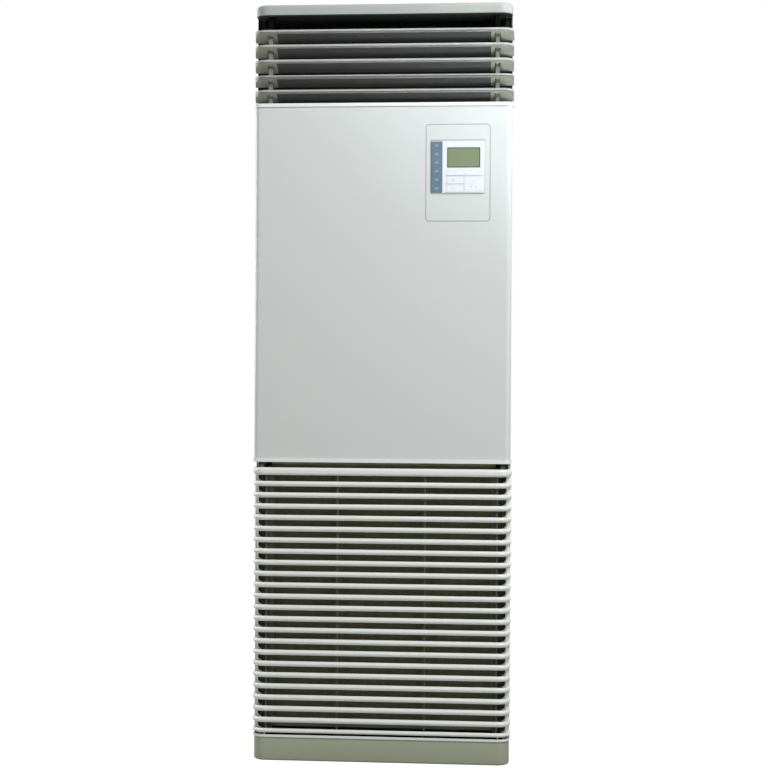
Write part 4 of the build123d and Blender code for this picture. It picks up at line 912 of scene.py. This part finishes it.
def vane_finish():
    """The moulding's three tones: pale on the upper part of the lip, a band of painted shade under
    it (lighter at the ends), and olive grey on the blade. Height is counted down from just over
    the first lip."""
    made = finish("vane_plastic", (0.53, 0.545, 0.455), (0.49, 0.505, 0.42), 0.42)
    tree, shader, blade = opened(made)
    facing = split_of(tree, node_of(tree, "ShaderNodeTexCoord").outputs["Normal"])
    place = split_of(tree, place_of(tree))
    upright = math_node(tree, "LESS_THAN", math_node(tree, "ABSOLUTE", facing["Z"]), UPRIGHT_LIMIT)
    below_top = math_node(tree, "SUBTRACT", VANE_TOP + TOP_MARGIN, place["Z"])
    below_lip = math_node(tree, "MODULO", below_top, VANE_PITCH)
    # Below the pale part of the lip the band of painted shade begins.
    low = math_node(tree, "GREATER_THAN", below_lip, LIP_PALE + TOP_MARGIN)
    ends = math_node(tree, "GREATER_THAN", math_node(tree, "ABSOLUTE", place["X"]), FELT_HALF)
    pale = group_node(tree, drift, Colour=LIP_TONE, Shade=LIP_SHADE)
    shade_band_tone = blend(tree, ends, SHADE_BAND_TONE, SHADE_BAND_END_TONE)
    band = group_node(tree, drift, Colour=shade_band_tone, Shade=SHADE_BAND_SECOND)
    lip = blend(tree, low, pale, band)
    feed(tree, shader, {"Base Color": blend(tree, upright, blade, lip)})
    return made


vanes = [f"air_vane_{i}" for i in range(1, 6)]
dress(vane_finish(), *vanes)

VANE_TILT = 28.0
VANE_SET = (0.0, 2.0, 2.0, -4.0, 0.0)
VANE_LIP = 0.0065
VANE_THICK = 0.0022
VANE_FRONT = -0.1038
PIVOT_BACK = 0.019
FELT_THICK = 0.0008
FELT_START = 0.0034
FELT_END = 0.0335
FELT_EDGE = 0.0003
tilt = math.radians(VANE_TILT)
lining_felt = finish("lining_felt", (0.116, 0.118, 0.118), (0.090, 0.092, 0.092), 0.9, 1800.0, 0.12, 40.0)
for number, name in enumerate(vanes):
    top = VANE_TOP - number * VANE_PITCH
    drop = VANE_LIP + PIVOT_BACK * math.tan(tilt) - VANE_THICK / math.cos(tilt) / 2
    pivot = Vector((0.0, VANE_FRONT + PIVOT_BACK, top - drop))
    turn = Matrix.Rotation(-math.radians(VANE_SET[number]), 4, "X")
    lay = Matrix.Translation((0.0, VANE_FRONT, top - VANE_LIP)) @ Matrix.Rotation(-tilt, 4, "X")
    felt = bmesh.new()
    soft_box(felt, (-FELT_HALF, FELT_START / math.cos(tilt), -FELT_THICK),
             (FELT_HALF, FELT_END / math.cos(tilt), 0.0), FELT_EDGE)
    felt.transform(Matrix.Translation(pivot) @ turn @ Matrix.Translation(-pivot) @ lay)
    piece(felt, f"{name}_lining", lining_felt, name, "vane_plastic")


# ---- Outlet posts ----
# Two grey moulded posts with a snap bearing for each louvre. Black sleeves cover their tops
# over the first louvre; their black is painted shadow above the louvres.

SLEEVE_FOOT = 0.003
SLEEVE_WALL = 0.0003
SLEEVE_EDGE = 0.0005
POST_WIDTH = 0.009
post_plastic = finish("post_plastic", (0.22, 0.23, 0.21), (0.19, 0.20, 0.18), 0.6)
dress(post_plastic, "outlet_posts")
post_low, post_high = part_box("outlet_posts")
sleeve_across = (post_high[0] - POST_WIDTH - SLEEVE_WALL, post_high[0] + SLEEVE_WALL)
# Near black: painted shadow over the tops of the posts.
sleeve_painted_shadow = finish("sleeve_painted_shadow", (0.004, 0.005, 0.004), (0.003, 0.004, 0.003), 0.9, 900.0, 0.03,
                     sheen=0.05)
sleeves = bmesh.new()
for side in (-1, 1):
    side_box(sleeves, side, sleeve_across, post_low[1] - SLEEVE_WALL, post_high[1] + SLEEVE_WALL,
             VANE_TOP + SLEEVE_FOOT, post_high[2], SLEEVE_EDGE)
piece(sleeves, "post_shadow_sleeves", sleeve_painted_shadow, "casing", "dark_plastic")


# ---- Outlet cheeks, duct and guide vanes ----
# Black walls and a black duct behind the louvres. The black of the walls is painted shade at
# the ends of the outlet. Six upright guide vanes turn in the duct, joined by a flat bar that a
# crank moves.

# Black plastic. On the outlet cheeks, the inlet ring and the scroll this black is painted shade.
black_plastic_and_shade = finish("black_plastic_and_shade", (0.010, 0.012, 0.010), (0.007, 0.008, 0.007), 0.85, 900.0, 0.03,
                       sheen=0.15)
# The outlet cheeks are black as painted shade at the ends of the outlet.
dress(black_plastic_and_shade, "outlet_cheeks", "guide_vane_link", "swing_crank",
      *[f"guide_vane_{i}" for i in range(1, 7)])
duct_coat = finish("duct_coat", (0.019, 0.027, 0.022), (0.015, 0.022, 0.018), 0.8, 900.0, 0.03)
dress(duct_coat, "outlet_liner")


# ---- Foam seals beside the outlet ----
# Black foam strips stuck on the folds of the side sheets behind the ends of the louvres.
# They hide the bare edges of the folds, and their black is painted shade at the ends of the
# outlet.

OUTLET_SIDE_X = (0.2812, 0.2926)
# Near black foam: painted shade over the folds beside the outlet.
outlet_shade_foam = finish("outlet_shade_foam", (0.020, 0.020, 0.015), (0.014, 0.014, 0.011), 0.95, 2200.0, 0.2, 60.0)
outlet_shade_seals = bmesh.new()
for side in (-1, 1):
    side_box(outlet_shade_seals, side, OUTLET_SIDE_X, casing_front - SEAL_THICK, casing_front,
             post_low[2] + SEAL_END, post_high[2] - SEAL_END, SEAL_EDGE)
piece(outlet_shade_seals, "outlet_shade_seals", outlet_shade_foam, "casing", "dark_plastic")


# ---- Controller case and keys ----
# Bluish white moulded case set in the cover plate, and five keys of the same plastic. A lip
# behind the face keeps each key in.

case_plastic = finish("case_plastic", (0.835, 0.875, 0.925), (0.815, 0.855, 0.905), 0.28, 900.0, 0.01)
keys = ["key_power", "key_up", "key_down", "key_small_left", "key_small_right"]
dress(case_plastic, "controller_case", *keys)


# ---- Controller display ----
# A grey green window, set a little back in its opening, with fine upright lines. A dark
# border is printed round its edge.

CELL = 0.0022
CELL_FILL = 0.7
CELL_MIX = 0.35
CELL_TONE = (0.14, 0.18, 0.12, 1)
display = finish("display", (0.24, 0.30, 0.17), (0.21, 0.27, 0.15), 0.2)
display_tree, display_shader, display_tone = opened(display)
display_across = split_of(display_tree, place_of(display_tree))["X"]
display_lines = math_node(display_tree, "PINGPONG", display_across, CELL)
display_edges = math_node(display_tree, "GREATER_THAN", display_lines, CELL * CELL_FILL)
display_mask = math_node(display_tree, "MULTIPLY", display_edges, CELL_MIX)
display_face = blend(display_tree, display_mask, display_tone, CELL_TONE)
feed(display_tree, display_shader, {"Base Color": display_face})
dress(display, "controller_screen")

case_low, case_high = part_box("controller_case")
screen_low, screen_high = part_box("controller_screen")
PRINT = 0.00012
BORDER = 0.0019
BORDER_RADII = (0.0006, 0.0002)


def widened(low, high, side, foot, head, radius):
    """A rounded outline round a box in X and Z, moved out by these widths."""
    return rounded_frame(low[0] - side, high[0] + side, low[2] - foot, high[2] + head, radius)


border = bmesh.new()
ring(border,
     widened(screen_low, screen_high, PRINT, PRINT, PRINT, BORDER_RADII[0]),
     widened(screen_low, screen_high, -BORDER, -BORDER, -BORDER, BORDER_RADII[1]),
     case_low[1] - PRINT, case_low[1] + PRINT)
border_print = finish("border_print", (0.035, 0.075, 0.085), (0.028, 0.06, 0.07), 0.25)
piece(border, "display_border", border_print, "casing", "screen")


# ---- Controller seal ----
# Dark rubber in the seam between the case and the cover plate. It is a little wider along
# the top of the case, and that extra width is painted shadow under the edge of the cover.

SEAL_RIM = 0.0007
# Extra width of the seal along the top: painted shadow under the cover's edge.
TOP_SHADOW_RIM = 0.0017
CASE_SEAL_RADII = (0.0024, 0.0020)
CASE_SEAL_RISE = 0.0004
seam_rubber_and_shadow = finish("seam_rubber_and_shadow", (0.16, 0.17, 0.15), (0.12, 0.13, 0.115), 0.8, 2000.0, 0.02)
case_seal = bmesh.new()
ring(case_seal,
     widened(case_low, case_high, SEAL_RIM, SEAL_RIM, TOP_SHADOW_RIM, CASE_SEAL_RADII[0]),
     widened(case_low, case_high, -PRINT, -PRINT, -PRINT, CASE_SEAL_RADII[1]),
     cover_low[1] - CASE_SEAL_RISE, cover_low[1] + PRINT)
piece(case_seal, "case_seal", seam_rubber_and_shadow, "casing", "dark_plastic")


# ---- Lamp strip and marks on the keys ----
# A grey blue strip with six lamps, flush with the case. Plain marks are printed on three
# keys: an arrow up, an arrow down, and two dots under a dash.

overlay = finish("overlay", (0.158, 0.232, 0.300), (0.100, 0.160, 0.226), 0.3, tone_scale=14.0)
dress(overlay, "controller_strip")

# A small printed shape at a place on a face: a bar, or a triangle that points up or down.
mark, mark_in, mark_out = new_group(
    "printed_mark",
    [("X", FLOAT, 0.0), ("Z", FLOAT, 0.0), ("Width", FLOAT, 0.003), ("Height", FLOAT, 0.002),
     ("Point", FLOAT, 0.0)],
    [("Mask", FLOAT)],
)
mark_size = mark_in.outputs
mark_place = split_of(mark, place_of(mark))
mark_side = math_node(mark, "ABSOLUTE", math_node(mark, "SUBTRACT", mark_place["X"], mark_size["X"]))
mark_up = math_node(mark, "SUBTRACT", mark_place["Z"], mark_size["Z"])
mark_rise = math_node(mark, "DIVIDE", mark_up, mark_size["Height"])
half_taper = math_node(mark, "MULTIPLY", math_node(mark, "ABSOLUTE", mark_size["Point"]), 0.5)
mark_taper = math_node(mark, "ADD", half_taper, math_node(mark, "MULTIPLY", mark_size["Point"], mark_rise))
half_width = math_node(mark, "MULTIPLY", mark_size["Width"], 0.5)
mark_half = math_node(mark, "MULTIPLY", half_width, math_node(mark, "SUBTRACT", 1.0, mark_taper))
mark_level = math_node(mark, "LESS_THAN", math_node(mark, "ABSOLUTE", mark_rise), 0.5)
mark_within = math_node(mark, "LESS_THAN", mark_side, mark_half)
feed(mark, mark_out, {"Mask": math_node(mark, "MULTIPLY", mark_within, mark_level)})


def print_on(material, colour, marks):
    """Prints marks (X, Z, width, height, point) on a finish in one colour."""
    tree, shader, ground = opened(material)
    mask = 0.0
    for x, z, width, height, point in marks:
        shape = group_node(tree, mark, X=x, Z=z, Width=width, Height=height, Point=point)
        mask = math_node(tree, "MAXIMUM", shape, mask)
    feed(tree, shader, {"Base Color": blend(tree, mask, ground, (*colour, 1))})


LAMP_COUNT = 6
LAMP_TOP = 1.4226
LAMP_STEP = 0.01964
LAMP_SIZE = (0.0080, 0.0046)
LAMP_TONE = (0.27, 0.355, 0.445)
strip_low, strip_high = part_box("controller_strip")
lamp_x = (strip_low[0] + strip_high[0]) / 2
print_on(overlay, LAMP_TONE,
         [(lamp_x, LAMP_TOP - i * LAMP_STEP, *LAMP_SIZE, 0.0) for i in range(LAMP_COUNT)])

PRINT_TONE = (0.50, 0.54, 0.60)
ARROW_X = 0.1621
ARROW_Z = (1.3435, 1.3233)
ARROW_SIZE = (0.0052, 0.0030)
POWER_PLACE = (0.209, 1.328)
POWER_APART = 0.006
DOT_SIZE = (0.0026, 0.0030)
DASH_RISE = 0.012
DASH_SIZE = (0.0040, 0.0012)
power_x, power_z = POWER_PLACE
for name, marks in (
    ("key_up", [(ARROW_X, ARROW_Z[0], *ARROW_SIZE, 1.0)]),
    ("key_down", [(ARROW_X, ARROW_Z[1], *ARROW_SIZE, -1.0)]),
    ("key_power", [(power_x - POWER_APART, power_z, *DOT_SIZE, 0.0),
                   (power_x + POWER_APART, power_z, *DOT_SIZE, 0.0),
                   (power_x, power_z + DASH_RISE, *DASH_SIZE, 0.0)]),
):
    printed = case_plastic.copy()
    printed.name = f"{name}_print"
    print_on(printed, PRINT_TONE, marks)
    dress(printed, name)


# ---- Heat exchanger and pipes ----
# Straight copper tubes with return bends, pushed through aluminium fins. The gas and the
# liquid pipe lead from it down to openings in the rear sheet.

copper = finish("copper_tube", (0.62, 0.28, 0.16), (0.50, 0.22, 0.13), 0.35, 900.0, 0.01, metallic=1.0)
dress(copper, "evaporator_tubes", "refrigerant_pipes")
fin_metal = finish("fin_metal", (0.70, 0.71, 0.72), (0.60, 0.61, 0.63), 0.35, 900.0, 0.01, metallic=1.0)
dress(fin_metal, "evaporator_fins")


# ---- Fan ----
# A wheel with curved blades on a steel shaft, behind a flared inlet ring and in a scroll,
# all black. On the inlet ring and the scroll the black is painted shade inside the unit. The
# flat motor is held by three arms behind the scroll.

shaft_steel = finish("shaft_steel", (0.16, 0.16, 0.165), (0.10, 0.10, 0.105), 0.55, metallic=1.0)
dress(shaft_steel, "fan_shaft")
# The black of the inlet ring and the scroll is painted shade behind the filter.
dress(black_plastic_and_shade, "bell_mouth", "fan_scroll", "fan_wheel", "fan_motor")


# ---- Drain tray ----
# A pale plastic tray under the heat exchanger. Its pipe runs down the back and out through
# the rear sheet.

tray_plastic = finish("tray_plastic", (0.70, 0.70, 0.66), (0.64, 0.64, 0.60), 0.5)
dress(tray_plastic, "drain_pan", "drain_pipe")


# ---- Circuit boards and small black parts ----
# Coated boards of the unit and of the controller. The terminals, the ring for the supply
# lead in the rear sheet, and the small motor of the guide vanes are moulded in black.

board_coat = finish("board_coat", (0.02, 0.12, 0.05), (0.02, 0.09, 0.04), 0.4)
dress(board_coat, "control_board", "controller_board")
dress(black_plastic_and_shade, "swing_motor", "terminal_block", "cable_gland")


# ---- Casing screws ----
# Plated steel screws with rounded heads and a cross recess. Two rows of six go through
# the rear sheet into the folds of the side sheets.

SCREW_APART = 0.580
SCREW_COLUMNS = 2
SCREW_ROWS = 6
SCREW_FIRST_Z = 0.060
SCREW_STEP = 0.27433
SHEET_THICK = 0.0012
SHANK_RADIUS = 0.0020
HEAD_RADIUS = 0.0040
HEAD_RIM = 0.0005
SHOULDER_RADIUS = 0.0037
SHOULDER_RISE = 0.0010
CROWN_RADIUS = 0.0030
CROWN_CLEAR = 0.00005
HEAD_SIDES = 24
CROSS_ARM = 0.0019
CROSS_HALF = 0.0004
CROSS_DEPTH = 0.0009
CROSS_TAPER = 0.6
HEAD_SHARP = math.radians(30)
screws_low, screws_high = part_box("casing_screws")
head_top = screws_high[1] - screws_low[1] - CROWN_CLEAR
screw_profile = [
    (SHANK_RADIUS, 0.0), (SHANK_RADIUS, SHEET_THICK), (HEAD_RADIUS, SHEET_THICK),
    (HEAD_RADIUS, SHEET_THICK + HEAD_RIM), (SHOULDER_RADIUS, SHEET_THICK + SHOULDER_RISE),
    (CROWN_RADIUS, head_top),
]


def ring_of(shape, radius, height, sides):
    """Points round a circle that lies across Y."""
    turns = [2 * math.pi * i / sides for i in range(sides)]
    return [shape.verts.new((radius * math.cos(turn), height, radius * math.sin(turn))) for turn in turns]


screw = bmesh.new()
screw_rings = [ring_of(screw, radius, height, HEAD_SIDES) for radius, height in screw_profile]
for near, far in zip(screw_rings, screw_rings[1:]):
    bridge(screw, near, far)
screw.faces.new(screw_rings[0])
corner = [(CROSS_HALF, CROSS_ARM), (CROSS_HALF, CROSS_HALF), (CROSS_ARM, CROSS_HALF)]
cross = []
for quarter in range(4):
    turn = Matrix.Rotation(-quarter * math.pi / 2, 2)
    cross += [turn @ Vector(point) for point in corner]
recess_rim = [screw.verts.new((x, head_top, z)) for x, z in cross]
recess_foot = [screw.verts.new((CROSS_TAPER * x, head_top - CROSS_DEPTH, CROSS_TAPER * z))
               for x, z in cross]
bridge(screw, recess_rim, recess_foot)
screw.faces.new(recess_foot)
rim_edges = in_order(edge for loop in (screw_rings[-1], recess_rim) for vert in loop
                     for edge in vert.link_edges if edge.other_vert(vert) in loop)
bmesh.ops.triangle_fill(screw, use_beauty=True, use_dissolve=False, edges=rim_edges)

rows, rows_in, rows_out = new_tree(
    "screw_rows",
    [("Apart", FLOAT), ("Length", FLOAT), ("Rows", COUNT), ("Middle", "NodeSocketVector"),
     ("Finish", MATERIAL)],
)
row_size = rows_in.outputs
places = node_of(rows, "GeometryNodeMeshGrid", {
    "Size X": row_size["Apart"], "Vertices X": SCREW_COLUMNS,
    "Size Y": row_size["Length"], "Vertices Y": row_size["Rows"],
})
upright = node_of(rows, "GeometryNodeTransform", {
    "Geometry": places.outputs["Mesh"], "Translation": row_size["Middle"], "Rotation": (math.pi / 2, 0, 0),
})
driven = node_of(rows, "GeometryNodeInstanceOnPoints", {
    "Points": upright.outputs["Geometry"], "Instance": row_size["Geometry"],
})
finish_tree(rows, rows_in, rows_out, driven.outputs["Instances"])

screw_plate = finish("screw_plate", (0.60, 0.61, 0.62), (0.48, 0.49, 0.50), 0.3, 1200.0, 0.01, metallic=1.0)
screw_span = SCREW_STEP * (SCREW_ROWS - 1)
cross_screws = grown(
    to_scene(meshed(screw, "screw_host"), "screw_host"), rows, "cross_screws",
    Apart=SCREW_APART, Length=screw_span, Rows=SCREW_ROWS,
    Middle=(0.0, screws_low[1], SCREW_FIRST_Z + screw_span / 2), Finish=screw_plate,
)
cross_screws.data.set_sharp_from_angle(angle=HEAD_SHARP)
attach(cross_screws, "casing")
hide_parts("casing_screws")
